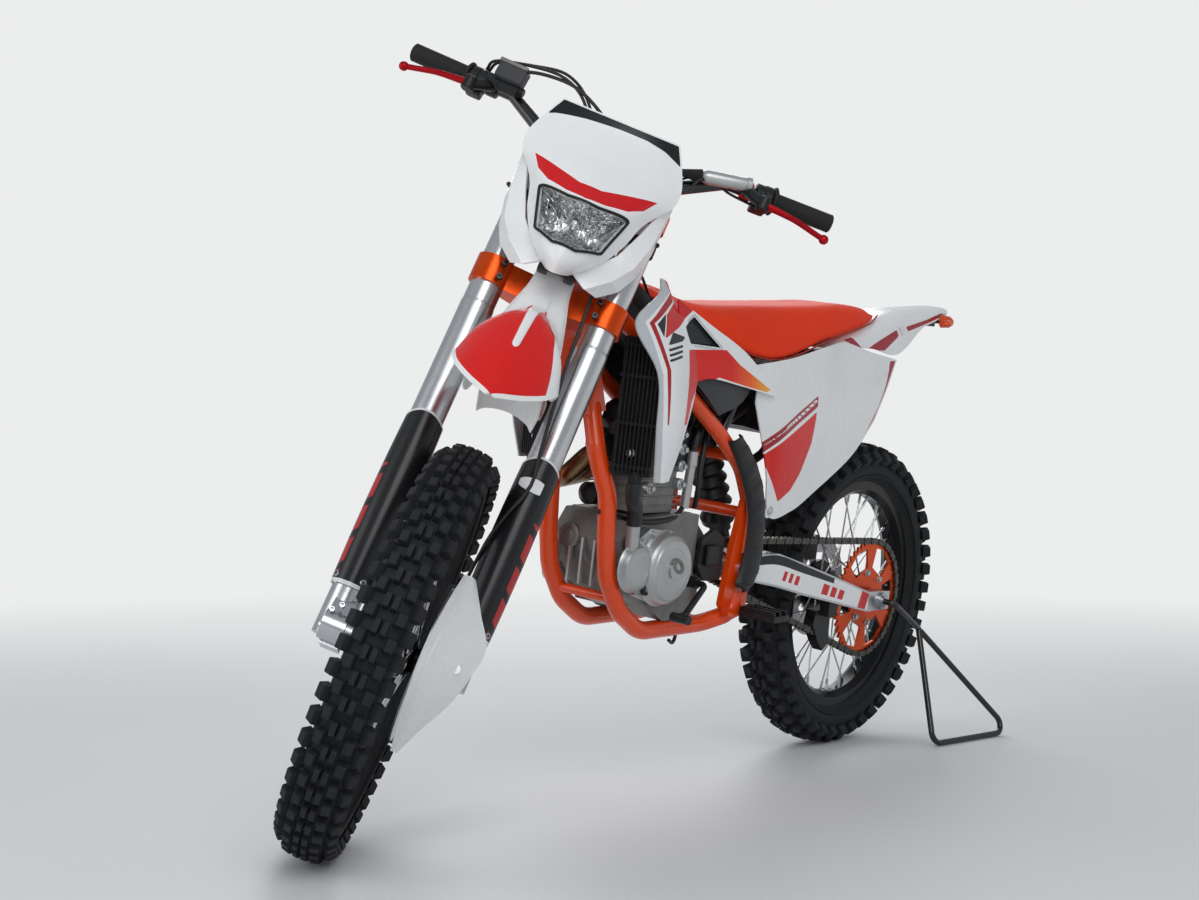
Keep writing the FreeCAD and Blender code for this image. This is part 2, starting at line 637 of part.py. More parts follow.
def clutch_cover():
    """The right cover with its round clutch lid and the water pump below it."""
    y0 = -80 - SEAT_GAP
    base = plate_xz([(690, 420), (760, 372), (870, 384), (920, 430), (930, 490), (880, 535), (760, 540),
                     (700, 500)], -104, y0)
    lid = turned([(-104, 0), (-104, 78), (-124, 74), (-134, 62), (-134, 0)], centre=V(785, 0, 458))
    pump = turned([(-104, 0), (-104, 30), (-122, 26), (-122, 0)], centre=V(888, 0, 420))
    return joined(base, lid, pump)


def cylinder():
    """The barrel, standing on the cases with a slight lean forward."""
    z0, z1 = 552 + SEAT_GAP, 640
    corners = [(-58, -48), (-46, -60), (46, -60), (58, -48), (58, 48), (46, 60), (-46, 60), (-58, 48)]
    return ruled([[V(middle + x, y, z) for x, y in corners] for middle, z in ((822, z0), (816, z1))])


# Ports of the head: where each ends and the way it points
PORT_END, PORT_AXIS = V(908, -15, 663), V(28, -3, -9).normalize()
INTAKE_END, INTAKE_AXIS = V(722, 10, 690), V(-28, 2, 8).normalize()


def cylinder_head():
    """The head with its exhaust and intake ports and a raised cam cover."""
    z0 = 640 + SEAT_GAP
    body = plate_xz([(742, z0), (892, z0), (896, 700), (870, 716), (750, 712), (736, 690)], -68, 66)
    cover = plate_xz([(752, 712), (872, 714), (862, 742), (838, 752), (778, 750), (758, 738)], -54, 54)
    port = rod(PORT_END - PORT_AXIS * 30, PORT_END, 24)
    intake = rod(INTAKE_END - INTAKE_AXIS * 30, INTAKE_END, 27)
    caps = [rod_y(x, 728, 50, 60, 14) for x in (785, 840)]
    return joined(body, cover, port, intake, caps)


AIR_BOX_FRONT = 560.0


def throttle_body():
    """Throttle body and the rubber duct that reaches the air box, past the shock absorber."""
    start, end = INTAKE_END + INTAKE_AXIS * SEAT_GAP, INTAKE_END + INTAKE_AXIS * 48
    bore = rod(start, end, 26)
    duct = bent_bar([end - INTAKE_AXIS * 2, V(628, 30, 724), V(545, 44, 768)], 25, 60)
    drum = rod(V(695, 20, 697), V(695, 50, 697), 20)
    return joined(bore, duct, drum).cut(box((450, AIR_BOX_FRONT + SEAT_GAP), (-30, 120), (650, 850)))


# The silencer's axis
CAN_START, CAN_END = V(344.5, -122, 722.3), V(-40, -112, 846)
CAN_AXIS = (CAN_END - CAN_START).normalize()


def exhaust_pipe():
    """The header from the front port, round the right of the engine to the silencer."""
    route = [PORT_END + PORT_AXIS * SEAT_GAP, PORT_END + PORT_AXIS * 34, V(950, -62, 604), V(905, -118, 590),
             V(810, -140, 594), V(680, -143, 612), V(540, -140, 650), CAN_START - CAN_AXIS * 60,
             CAN_START - CAN_AXIS * SEAT_GAP]
    return bent_bar(route, 18, 60)


def muffler():
    """The silencer on the right: an oval can that widens from its inlet cone, with an end cap."""
    start, along = CAN_START, CAN_AXIS
    across = along.cross(UP).normalize()
    rise = across.cross(along).normalize()
    # columns: distance along, half width, half height
    rows = [(0, 20, 20), (60, 40, 46), (330, 40, 46), (372, 32, 36), (392, 24, 26)]
    turns = [2 * math.pi * i / 16 for i in range(16)]
    sections = [[start + along * d + across * (w * math.cos(a)) + rise * (h * math.sin(a)) for a in turns]
                for d, w, h in rows]
    return ruled(sections)


def shock_absorber():
    """Damper, wound spring and reservoir, from the swing arm's bridge to the frame."""
    low, high = V(462, -22, 470), V(SHOCK_TOP[0], -22, SHOCK_TOP[1])
    axis = high - low
    length = axis.Length
    r_in, r_out, coils = 26, 36, 7
    profile = [(0, 0), (0, 16), (30, 16), (30, 22), (52, 22), (52, 34)]
    pitch = (length - 52 - 66) / coils
    for k in range(coils):
        profile += [(52 + pitch * (k + 0.45), r_out), (52 + pitch * (k + 1), r_in)]
    profile += [(length - 64, 36), (length - 54, 36), (length - 54, 26), (length - 20, 24), (length, 16), (length, 0)]
    body = turned(profile, axis=UP)
    body.Placement = FreeCAD.Placement(low, FreeCAD.Rotation(UP, axis))
    foot = rod_y(455, 461, -40, -4, 16)
    eye = rod_y(SHOCK_TOP[0], SHOCK_TOP[1], -36, -8, 15)
    hole = rod_y(SHOCK_TOP[0], SHOCK_TOP[1], -60, -7, SHOCK_PIN + FIT)
    (x1, _, _, z1), (x0, _, low_z, z0) = ARM_BRIDGE
    slope = (z1 - z0) / (x1 - x0)
    bridge = plate_xz([(x0 - 20, low_z), (x0 - 20, z0 + SEAT_GAP - 20 * slope), (x1 + 30, z1 + SEAT_GAP + 30 * slope),
                       (x1 + 30, low_z)], -60, 20)
    return joined(body, foot, eye).cut([hole, bridge])


def radiator(side):
    """A finned radiator core between two tanks, behind its louvred guard, its outer edge swept back."""
    width, deep = 72, 30
    core = box((-deep + 4, -4), (0, width), (644, 862))
    tanks = [box((-deep, 0), (0, width), (632, 646)), box((-deep, 0), (0, width), (860, 876))]
    slats = []
    count = 9
    for k in range(count):
        y = 4 + k * (width - 12) / (count - 1)
        slats.append(plate_xy([(-5, y - 1.2), (11, y + 4), (11, y + 6.4), (-5, y + 1.2)], 636, 872))
    bars = [box((-1, 7), (0, width), (z - 3, z + 3)) for z in (648, 724, 808, 862)]
    body = joined(core, tanks, slats, bars)
    body.Placement = FreeCAD.Placement(V(1000, 76, 0), FreeCAD.Rotation(UP, 21))
    stay = box((978, 992), (60, 86), (700, 720)).cut(rod(V(1008, 48, 660), V(1002, 34, 752), CRADLE_RADIUS + SEAT_GAP))
    pipe = rod(V(980, 118, 620), V(980, 118, 640), 12)
    return mirrored(joined(body, stay, pipe), side)


def coolant_hoses():
    """The lower hose from the left radiator to the spigot on the left cover."""
    end = HOSE_END + HOSE_AXIS * SEAT_GAP
    return bent_bar([V(980, 118, 620 - SEAT_GAP), V(980, 118, 592), end + HOSE_AXIS * 28, end], 14, 40)


def fuel_tank():
    """The tank on the rails, under the seat's nose and behind the shrouds, with a filler cap."""
    # columns: x, half width low, z low, half width high, z high
    rows = [(1018, 40, 968, 38, 1000), (966, 64, 930, 60, 1002), (965, 64, 930, 60, 973), (900, 88, 872, 66, 933),
            (770, 100, 828, 80, 884), (690, 96, 812, 84, 866)]
    body = ruled([[V(x, -w0, z0), V(x, w0, z0), V(x, w1, z1), V(x, -w1, z1)] for x, w0, z0, w1, z1 in rows])
    cap = turned([(998, 0), (998, 30), (1014, 27), (1018, 20), (1018, 0)], axis=UP, centre=V(994, 0, 0))
    wing = plate_xz([(872, 826), (740, 742), (668, 768), (640, 800), (700, 836), (800, 860)], 114, 119)
    tie = box((720, 850), (70, 116), (834, 846))
    rail = on_route(RAIL, 800)
    foot = box((rail.x - 15, rail.x + 15), (rail.y - 10, rail.y + 9), (rail.z, 838))
    foot = foot.cut(bent_bar(RAIL, RAIL_RADIUS + SEAT_GAP, 120))
    return joined(body, cap, both_sides(joined(wing, tie)), both_sides(foot))


def seat():
    """The saddle: long and flat, narrow over the tank, with skirts that end in a point on each side."""
    # columns: x, half width low, z low, half width of the shoulder, z high
    rows = [(964.6, 34, 976, 24, 992), (900, 70, 936, 44, 974), (770, 96, 888, 60, 944), (575, 120, 851, 72, 950),
            (360, 108, 897, 77, 963), (245, 94, 920, 74, 971), (150, 76, 938, 60, 970), (66, 44, 957, 34, 963)]
    sections = []
    for x, w0, z0, w1, z1 in rows:
        half = [(w0, z0), (0.5 * (w0 + w1) + 3, 0.35 * z0 + 0.65 * z1), (w1, z1 - 5), (0.5 * w1, z1)]
        sections.append([V(x, y, z) for y, z in half] + [V(x, -y, z) for y, z in reversed(half)])
    return ruled(sections)


# Shroud skin: columns run from the front edge to the rear edge, each (x, y, z)
SHROUD_BLADE = [[(954, 106, 983), (932, 104, 976), (905, 98, 950)],
                [(976, 121, 954), (940, 118, 945), (892, 112, 930)],
                [(1056, 138, 901), (990, 144, 900), (880, 128, 900)],
                [(1003, 160, 816), (952, 165, 814), (850, 136, 815)],
                [(998, 167, 718), (948, 170, 714), (895, 154, 712)],
                [(976, 158, 627), (955, 161, 626), (933, 158, 628)]]
SHROUD_WING = [[(912, 118, 950), (902, 129, 880), (872, 138, 800)],
               [(800, 120, 908), (800, 131, 866), (806, 137, 812)],
               [(690, 131, 862), (690, 137, 832), (700, 140, 800)],
               [(590, 142, 796), (590, 143, 790), (590, 143, 784)]]


def shroud(side):
    """A radiator shroud: an upright blade in front of the radiator's edge and a pointed wing behind."""
    wall = 3.5
    body = joined(moulding(grid(SHROUD_BLADE), wall), moulding(grid(SHROUD_WING), -wall))
    window = plate_xz([(930, 896), (898, 912), (808, 868), (908, 862)], 60, 200)
    return mirrored(body.cut(window), side)


# Side panel skin: columns run from the seat's edge down to the lower edge
SIDE_PANEL = [[(12, 77, 868), (50, 83, 804), (94, 86, 734)],
              [(150, 86, 882), (160, 100, 790), (188, 94, 659)],
              [(275, 97, 897), (290, 112, 760), (336, 104, 589)],
              [(380, 118, 886), (388, 126, 740), (428, 110, 552)],
              [(500, 126, 862), (508, 132, 710), (514, 112, 544)],
              [(575, 128, 851), (572, 134, 760), (560, 122, 640)],
              [(644, 127, 842), (640, 131, 800), (636, 129, 770)]]


def side_panel(side):
    """The number plate panel under the seat. The right one is cut away for the silencer."""
    body = moulding(grid(SIDE_PANEL), 3.5)
    tab = rod_y(514, 556, 106.5, 110.5, 16)
    rail = on_route(SEAT_RAIL, 460)
    peg = rod_y(rail.x, rail.z, rail.y, 124, 6).cut(rod(SEAT_RAIL[2], SEAT_RAIL[3], SEAT_RAIL_RADIUS + SEAT_GAP))
    peg = max(peg.Solids, key=lambda s: s.CenterOfMass.y)
    body = mirrored(joined(body, tab, peg), side)
    if side > 0:
        return body
    return body.cut(plate_xz([(-10, 500), (-10, 905), (290, 858), (430, 780), (690, 712), (690, 500)], -200, -60))


def rear_fender():
    """The rear mudguard and tail: an arched moulding from under the seat to a thin tip."""
    rows = [(330, [(0, 889), (60, 887), (86, 878), (92, 868)]),
            (250, [(0, 912), (56, 910), (80, 900), (88, 884)]),
            (128, [(0, 938), (50, 938), (70, 924), (78, 888)]),
            (0, [(0, 968), (44, 966), (66, 950), (71, 880)]),
            (-112, [(0, 981), (38, 979), (58, 966), (62, 940)]),
            (-180, [(0, 988), (32, 986), (50, 978), (54, 958)]),
            (-262, [(0, 994), (26, 993), (40, 988), (42, 978)])]
    rail = on_route(SEAT_RAIL, 250)
    pad = box((rail.x - 14, rail.x + 14), (rail.y - 7, rail.y + 6), (rail.z, 903))
    pad = pad.cut(rod(SEAT_RAIL[3], SEAT_RAIL[4], SEAT_RAIL_RADIUS + SEAT_GAP))
    return joined(moulding(arched(rows), -3.5), both_sides(pad))


def tail_lamp():
    """The lamp housing under the tail with an arm for each indicator."""
    body = plate_xz([(-250, 988.2), (-180, 982.5), (-150, 979.5), (-165, 948), (-238, 948)], -26, 26)
    arms = [rod_y(-222, 962, -52, -20, 6), rod_y(-222, 962, 20, 52, 6)]
    return joined(body, arms)


def rear_indicators():
    """A lens on each arm."""
    lens = turned([(52.3, 0), (52.3, 15), (70, 13), (78, 7), (78, 0)], centre=V(-222, 0, 962))
    return apart(*both_sides(lens))


def air_box():
    """The air box behind the shock absorber, inside the side panels."""
    # columns: x, half width, z low, z high
    rows = [(AIR_BOX_FRONT, 60, 716, 840), (470, 72, 700, 848), (335, 58, 730, 862)]
    return ruled([[V(x, -y, z0), V(x, y, z0), V(x, y, z1), V(x, -y, z1)] for x, y, z0, z1 in rows])


def subframe():
    """Rear subframe: an upper rail and a strut on each side, with cross tubes."""
    pieces = []
    for side in (1, -1):
        for route in (SEAT_RAIL, SEAT_STRUT):
            points = route if side > 0 else mirror_points(route)
            pieces.append(bent_bar(points, SEAT_RAIL_RADIUS, 60))
    cross = [rod_y(x, z, -y, y, 8) for x, y, z in ((300, 68, 868), (160, 55, 885))]
    rails = [bent_bar(r, RAIL_RADIUS + SEAT_GAP, 120) for r in (RAIL, mirror_points(RAIL))]
    return joined(pieces[0], pieces[1:], cross).cut(rails)


def frame_guards():
    """Plastic guards over the frame beside the rider's boots."""
    outer = [(690, 690), (655, 708), (600, 668), (556, 610), (534, 560), (530, 470), (548, 408), (578, 396),
             (604, 420), (590, 480), (590, 545), (630, 610)]
    return apart(*both_sides(plate_xz(outer, 112.4, 122)))


def sprocket_cover():
    """A cover over the countershaft sprocket."""
    outline = [(625, 420), (680, 420), (706, 450), (700, 500), (660, 520), (622, 500)]
    return joined(plate_xz(outline, 78.3, 88), rod_y(668, 470, 80, 96, 16))


def footpegs():
    """A toothed peg on each side."""
    peg = joined(box((548, 596), (124, 204), (354, 366)), box((556, 586), (PEG_Y + SEAT_GAP, 130), (350, 370)))
    teeth = [box((x, x + 5), (128, 202), (365, 374)) for x in (549, 570, 590)]
    return apart(*both_sides(joined(peg, teeth)))


def foot_levers():
    """The gear lever on the left and the brake pedal on the right."""
    gear = bent_bar([V(716, 92, 420), V(716, 118, 420), V(800, 136, 372), V(842, 140, 372)], 6, 16)
    toe = rod_y(838, 372, 134, 172, 9)
    hub = rod_y(716, 420, 78 + SEAT_GAP, 100, 11)
    brake = bent_bar([V(612, -122, 366), V(640, -130, 366), V(760, -150, 376), V(830, -140, 376)], 6, 16)
    pad = box((806, 846), (-156, -118), (380, 386))
    root = rod_y(612, 366, -128, -PEG_Y - SEAT_GAP, 12)
    return apart(joined(gear, toe, hub), joined(brake, pad, root))


def chain_guide():
    """The guide block inside the left arm that keeps the chain on the rear sprocket, and its bracket."""
    # columns: x, height over the line from axle to pivot
    outer = [(226, -52), (232, -83), (205, -116), (180, -134), (160, -116), (166, -49), (180, -40)]
    mouth = [(300, -55), (140, -80), (140, -118), (300, -93)]
    outer, mouth = ([(x, arm_line(x) + z) for x, z in line] for line in (outer, mouth))
    block = plate_xz(outer, 55, 79)
    slot = plate_xz(mouth, CHAIN_LINE - 9, CHAIN_LINE + 9)
    top = [(x, arm_height(x, 1) - SEAT_GAP) for x in (206, ARM[4][0], 172)]
    bracket = plate_xz(top + [(172, arm_line(172) - 52), (206, arm_line(206) - 60)], 76, 98)
    return joined(block.cut(slot), bracket)


def rear_caliper():
    """The rear brake caliper over the disc, carried by the right arm."""
    axle = REAR_RADIUS
    body = box((40, 110), (-80, -46), (axle + 67, axle + 122))
    slot = turned([(REAR_DISC["face"] + 5, 0), (REAR_DISC["face"] + 5, 125), (REAR_DISC["face"] - 9, 125),
                   (REAR_DISC["face"] - 9, 0)], centre=V(0, 0, axle))
    stay = plate_xz([(50, axle + 28), (110, axle + 28), (104, axle + 82), (56, axle + 82)], -94, -72)
    arm = plate_xz([(x, arm_height(x, 2) + SEAT_GAP) for x in (0, ARM[5][0], ARM[4][0])]
                   + [(190, axle - 38), (0, axle - 38)], -120, -60)
    return joined(body, stay).cut([slot, arm])


def triple_clamps():
    """Upper and lower clamps on the steering stem, with the handlebar clamp on top."""
    stem = Part.makeCylinder(STEM_RADIUS, UPPER_CLAMP[1] - LOWER_CLAMP[0], V(-AXLE_OFFSET, 0, LOWER_CLAMP[0]))
    parts = [stem]
    bores = []
    for z0, z1 in (LOWER_CLAMP, UPPER_CLAMP):
        parts.append(plate_xy([(-14, -100), (-22, -40), (-22, 40), (-14, 100), (-52, 100), (-90, 30), (-90, -30),
                               (-52, -100)], z0, z1))
        for y in (-LEG_SPREAD, LEG_SPREAD):
            parts.append(Part.makeCylinder(CLAMP_EYE, z1 - z0, V(-LEG_SETBACK, y, z0)))
            bores.append(Part.makeCylinder(FORK_TUBE_RADIUS + FIT, z1 - z0 + 2, V(-LEG_SETBACK, y, z0 - 1)))
    for y in (-42, 42):
        parts.append(box((BAR_CLAMP_X - 18, BAR_CLAMP_X + 18), (y - 16, y + 16), (UPPER_CLAMP[1] - 2, BAR_CLAMP_Z + 18)))
    bores.append(rod_y(BAR_CLAMP_X, BAR_CLAMP_Z, -70, 70, BAR_RADIUS + FIT))
    return joined(parts[0], parts[1:]).cut(bores)


def fork_tubes():
    """The two outer fork tubes with their caps."""
    z0, z1 = FORK_TUBE
    section = [(z0, 0), (z0, 29.5), (600, 29.5), (606, FORK_TUBE_RADIUS),
               (z1, FORK_TUBE_RADIUS), (z1, 22), (z1 + 6, 20), (z1 + 6, 0)]
    return apart(*[turned(section, axis=UP, centre=V(-LEG_SETBACK, y, 0)) for y in (-LEG_SPREAD, LEG_SPREAD)])


def fork_lowers():
    """Chromed sliders and the cast lugs that hold the axle."""
    legs = []
    for side in (1, -1):
        y = side * LEG_SPREAD
        slider = Part.makeCylinder(FORK_SLIDER_RADIUS, FORK_TUBE[0] - 50, V(-LEG_SETBACK, y, 50))
        boot = Part.makeCylinder(28.5, 84, V(-LEG_SETBACK, y, -14))
        inner, outer = sorted((y - side * LUG_INNER, y + side * LUG_OUTER))
        eye = rod_y(0, 0, inner, outer, LUG_EYE)
        web = plate_xz([(-40, -22), (0, -24), (14, 20), (-10, 52), (-40, 52)], inner + 2, outer - 1)
        foot = box((-58, -8), (inner + 6, outer - 1), (-30, -10))
        legs.append(joined(slider, boot, eye, web, foot))
    axle = rod_y(0, 0, -200, 200, AXLE_RADIUS + FIT)
    head = rod_y(0, 0, FRONT_AXLE_HALF - 1, FRONT_AXLE_HALF + 20, AXLE_HEAD + SEAT_GAP)
    return apart(*[leg.cut([axle, head]) for leg in legs])


def fork_guard(side):
    """A trough-shaped guard round the front of a slider, with a rounded top."""
    y = side * LEG_SPREAD
    r_out, r_in = GUARD_RADIUS, GUARD_RADIUS - GUARD_WALL
    z0, z1 = 70.0, 392.0
    tube = Part.makeCylinder(r_out, z1 - z0, V(-LEG_SETBACK, y, z0)).cut(
        Part.makeCylinder(r_in, z1 - z0 + 2, V(-LEG_SETBACK, y, z0 - 1)))
    behind = box((-200, -LEG_SETBACK - 12), (y - 60, y + 60), (z0 - 1, z1 + 1))
    crown = rod(V(-120, y, z1), V(60, y, z1), 200).cut(rod(V(-121, y, z1 - 50), V(61, y, z1 - 50), 50))
    crown = crown.common(box((-130, 70), (y - 90, y + 90), (z1 - 50, z1 + 60)))
    foot = Part.makeCylinder(r_in + 0.5, 8, V(-LEG_SETBACK, y, z0)).cut(
        Part.makeCylinder(28.5 + FIT, 10, V(-LEG_SETBACK, side * LEG_SPREAD, z0 - 1)))
    return tube.fuse(foot).removeSplitter().cut([behind, crown])


def front_axle():
    """The hollow-ended axle through both lugs, with spacers against the hub."""
    lug = LEG_SPREAD - LUG_INNER - SEAT_GAP
    body = rod_y(0, 0, -FRONT_AXLE_HALF, FRONT_AXLE_HALF, AXLE_RADIUS)
    right, left = WHEELS["front"]["ends"]
    spacers = [rod_y(0, 0, left + SEAT_GAP, lug, 18), rod_y(0, 0, -lug, right - SEAT_GAP, 18)]
    head = rod_y(0, 0, FRONT_AXLE_HALF - 1 + SEAT_GAP, FRONT_AXLE_HALF + 6, AXLE_HEAD)
    return joined(body, spacers, head)


def front_caliper():
    """The front brake caliper behind the left leg."""
    y0 = FRONT_DISC["face"]
    body = box((-122, -58), (38, 74), (66, 148))
    slot = turned([(y0 - 5, 0), (y0 - 5, 137), (y0 + 8, 137), (y0 + 8, 0)])
    bracket = plate_xz([(-80, 70), (-42, 30), (-20, 30), (-44, 110), (-80, 130)], 66, 80.7)
    leg = Part.makeCylinder(GUARD_RADIUS + SEAT_GAP, 200, V(-LEG_SETBACK, LEG_SPREAD, 66)).fuse(
        Part.makeCylinder(28.5 + SEAT_GAP, 100, V(-LEG_SETBACK, LEG_SPREAD, -20)))
    return joined(body, bracket).cut([slot, leg])


# Disc guard skin: columns are inner edge, crest and outer edge, each (x, y) in the fork frame, per height
DISC_GUARD = [(150, (52, 62), (58, 70), (44, 82)), (100, (95, 58), (100, 72), (56, 112)),
              (55, (125, 56), (128, 75), (40, 140)), (0, (140, 54), (142, 74), (58, 135)),
              (-50, (133, 56), (135, 74), (62, 122)), (-100, (104, 60), (106, 72), (66, 98)),
              (-150, (64, 66), (66, 70), (58, 76))]


def disc_guard():
    """The shield ahead of the brake disc and the left lug, on a boss from the lug."""
    rows = [[V(x, y, z) for x, y in (inner, crest, ((crest[0] + outer[0]) / 2 + 6, (crest[1] + outer[1]) / 2), outer)]
            for z, inner, crest, outer in DISC_GUARD]
    boss = rod(V(LUG_EYE + SEAT_GAP, 110, 0), V(96, 110, 0), 8)
    return joined(moulding(rows, 3.2), boss)


BAR_BEND, BAR_END = V(-62, 205, 1000), V(-95, 405, 1020)


def handlebar():
    """A tapered handlebar, thick in its clamp, with a bore in each end."""
    mid = V(BAR_CLAMP_X, 0, BAR_CLAMP_Z)
    knee, bend, end = V(BAR_CLAMP_X, 78, BAR_CLAMP_Z), BAR_BEND, BAR_END
    half = [rod(mid, knee, BAR_RADIUS), Part.makeSphere(BAR_RADIUS, knee), taper(knee, bend, BAR_RADIUS, GRIP_BAR_RADIUS),
            Part.makeSphere(GRIP_BAR_RADIUS, bend), rod(bend, end, GRIP_BAR_RADIUS)]
    left = joined(half[0], half[1:])
    inward = (bend - end).normalize()
    left = left.cut(rod(end - inward, end + inward * BAR_BORE_LENGTH, BAR_BORE))
    return joined(left, left.mirror(ORIGIN, LEFT))


def on_bar(distance, side=1):
    """A point of the handlebar's grip run, measured inwards from its end."""
    inward = (BAR_BEND - BAR_END).normalize()
    p = BAR_END + inward * distance
    return V(p.x, side * p.y, p.z)


def grips():
    """A rubber grip with an inner flange on each end of the handlebar."""
    pieces = []
    for side in (1, -1):
        body = joined(rod(on_bar(2, side), on_bar(118, side), 16.5), rod(on_bar(112, side), on_bar(118, side), 26))
        pieces.append(body.cut(rod(on_bar(-5, side), on_bar(125, side), GRIP_BAR_RADIUS + FIT)))
    return apart(*pieces)


def hand_controls():
    """Lever brackets, the brake master cylinder and the throttle and switch housings."""
    pieces = []
    for side in (1, -1):
        housing = rod(on_bar(119, side), on_bar(150, side), 23)
        clamp = rod(on_bar(156, side), on_bar(176, side), 20)
        arm_from, arm_to = on_bar(166, side), on_bar(128, side) + V(46, 0, -34)
        arm = rod(arm_from, arm_to, 11)
        post = rod(arm_to + V(0, 0, -12), arm_to + V(0, 0, 14), 13)
        link = rod(on_bar(145, side), on_bar(160, side), 17)
        body = [clamp, arm, post, link]
        if side < 0:
            corner = on_bar(190, side)
            body.append(box((corner.x + 20, corner.x + 54), (corner.y - 34, corner.y + 34),
                            (corner.z - 18, corner.z + 26)))
            body.append(rod(on_bar(172, side), on_bar(172, side) + V(34, 0, 0), 12))
        whole = joined(housing, body)
        pieces.append(whole.cut(rod(on_bar(60, side), on_bar(205, side), GRIP_BAR_RADIUS + FIT)))
    return apart(*pieces)


def hand_levers():
    """The clutch and brake levers."""
    pieces = []
    for side in (1, -1):
        pivot = on_bar(128, side) + V(46, 0, -34)
        tip = on_bar(4, side) + V(42, 0, -52)
        start = pivot + (tip - pivot).normalize() * (13 + SEAT_GAP)
        mid = pivot + (tip - pivot) * 0.5 + V(6, 0, 2)
        pieces.append(joined(bent_bar([start, mid, tip], 6.5, 80), Part.makeSphere(9, tip)))
    return apart(*pieces)


LAMP_OUTLINE = [(-80, 803), (-26, 790), (26, 790), (80, 803), (58, 727), (20, 704), (-20, 704), (-58, 727)]


def headlight_mask():
    """The number plate fairing: a broad shield above a lamp opening, with a wing down each side."""
    wall = 4.0
    # columns: height of the edge along the fork, half width, forward place at the middle and at the edge
    rows = [(984, 108, 62, 44), (950, 124, 66, 44), (905, 141, 80, 44), (872, 139, 97, 45), (840, 117, 110, 47),
            (812, 101, 118, 48), (765, 86, 124, 50), (715, 58, 122, 52), (680, 22, 106, 60)]
    table = []
    for z, w, mid, edge in rows:
        half = [(0, mid), (0.36 * w, 0.14 * edge + 0.86 * mid), (0.7 * w, 0.45 * edge + 0.55 * mid), (w, edge)]
        # The shield hangs: its middle lies lower than its edges
        half = [V(x, y, z - 0.48 * (x - edge)) for y, x in half]
        table.append([V(p.x, -p.y, p.z) for p in reversed(half) if p.y > 0] + half)
    shield = moulding(table, wall)
    hole = face_of([V(56, y, z) for y, z in LAMP_OUTLINE]).extrude(V(144, 0, 0))
    wing_rows = [[(46, 136, 878), (20, 138, 882), (4, 138, 878)], [(48, 118, 800), (24, 132, 796), (6, 135, 790)],
                 [(54, 74, 724), (34, 104, 712), (14, 118, 716)], [(62, 40, 698), (52, 58, 674), (44, 74, 672)]]
    wing = moulding(grid(wing_rows), wall)
    collar = Part.makeCylinder(32, 16, V(-LEG_SETBACK, LEG_SPREAD, 806)).cut(
        Part.makeCylinder(FORK_TUBE_RADIUS + SEAT_GAP, 18, V(-LEG_SETBACK, LEG_SPREAD, 805)))
    arm = rod(V(8, 138, 814), V(-12, 127, 814), 5)
    return joined(shield.cut(hole), both_sides(wing), both_sides(collar.fuse(arm)))


def headlight():
    """The lamp: a bowl behind the mask's opening and its front glass, held by the mask."""
    front = [V(0, y * 0.985, (z - 755) * 0.985 + 755) for y, z in LAMP_OUTLINE]
    bowl = face_of([V(60, p.y, p.z) for p in front]).extrude(V(52, 0, 0))
    back = rod(V(30, 0, 756), V(62, 0, 756), 36)
    return joined(bowl, back)


def front_fender():
    """The front mudguard: bolted under the lower clamp, wide nose ahead and a tail behind the wheel's top."""
    # columns: x, z of the middle, half width, z of the edge
    rows = [(-232, 506, 54, 486), (-150, 566, 64, 520), (-70, 604, 69, 470), (0, 614, 70, 452), (60, 605, 76, 456),
            (150, 560, 90, 457), (201, 486, 74, 421), (250, 388, 48, 384)]
    table = []
    for x, z, w, ze in rows:
        half = [(0, z), (0.45 * w, z - 0.15 * (z - ze)), (0.8 * w, 0.5 * (z + ze)), (w, ze)]
        table.append((x, half))
    skin = moulding(arched(table), 3.5)
    # The root that climbs in front of the clamp: columns run across, each (x, y, z)
    root = moulding(grid([[(4, -44, 688), (14, 0, 696), (4, 44, 688)], [(14, -58, 650), (28, 0, 655), (14, 58, 650)],
                          [(26, -63, 596), (44, 0, 622), (26, 63, 596)], [(36, -62, 545), (58, 0, 601), (36, 62, 545)]]),
                    -3.5)
    mount = Part.makeCylinder(24, LOWER_CLAMP[0] - SEAT_GAP - 604, V(-AXLE_OFFSET + 14, 0, 604))
    return joined(skin, root, mount)


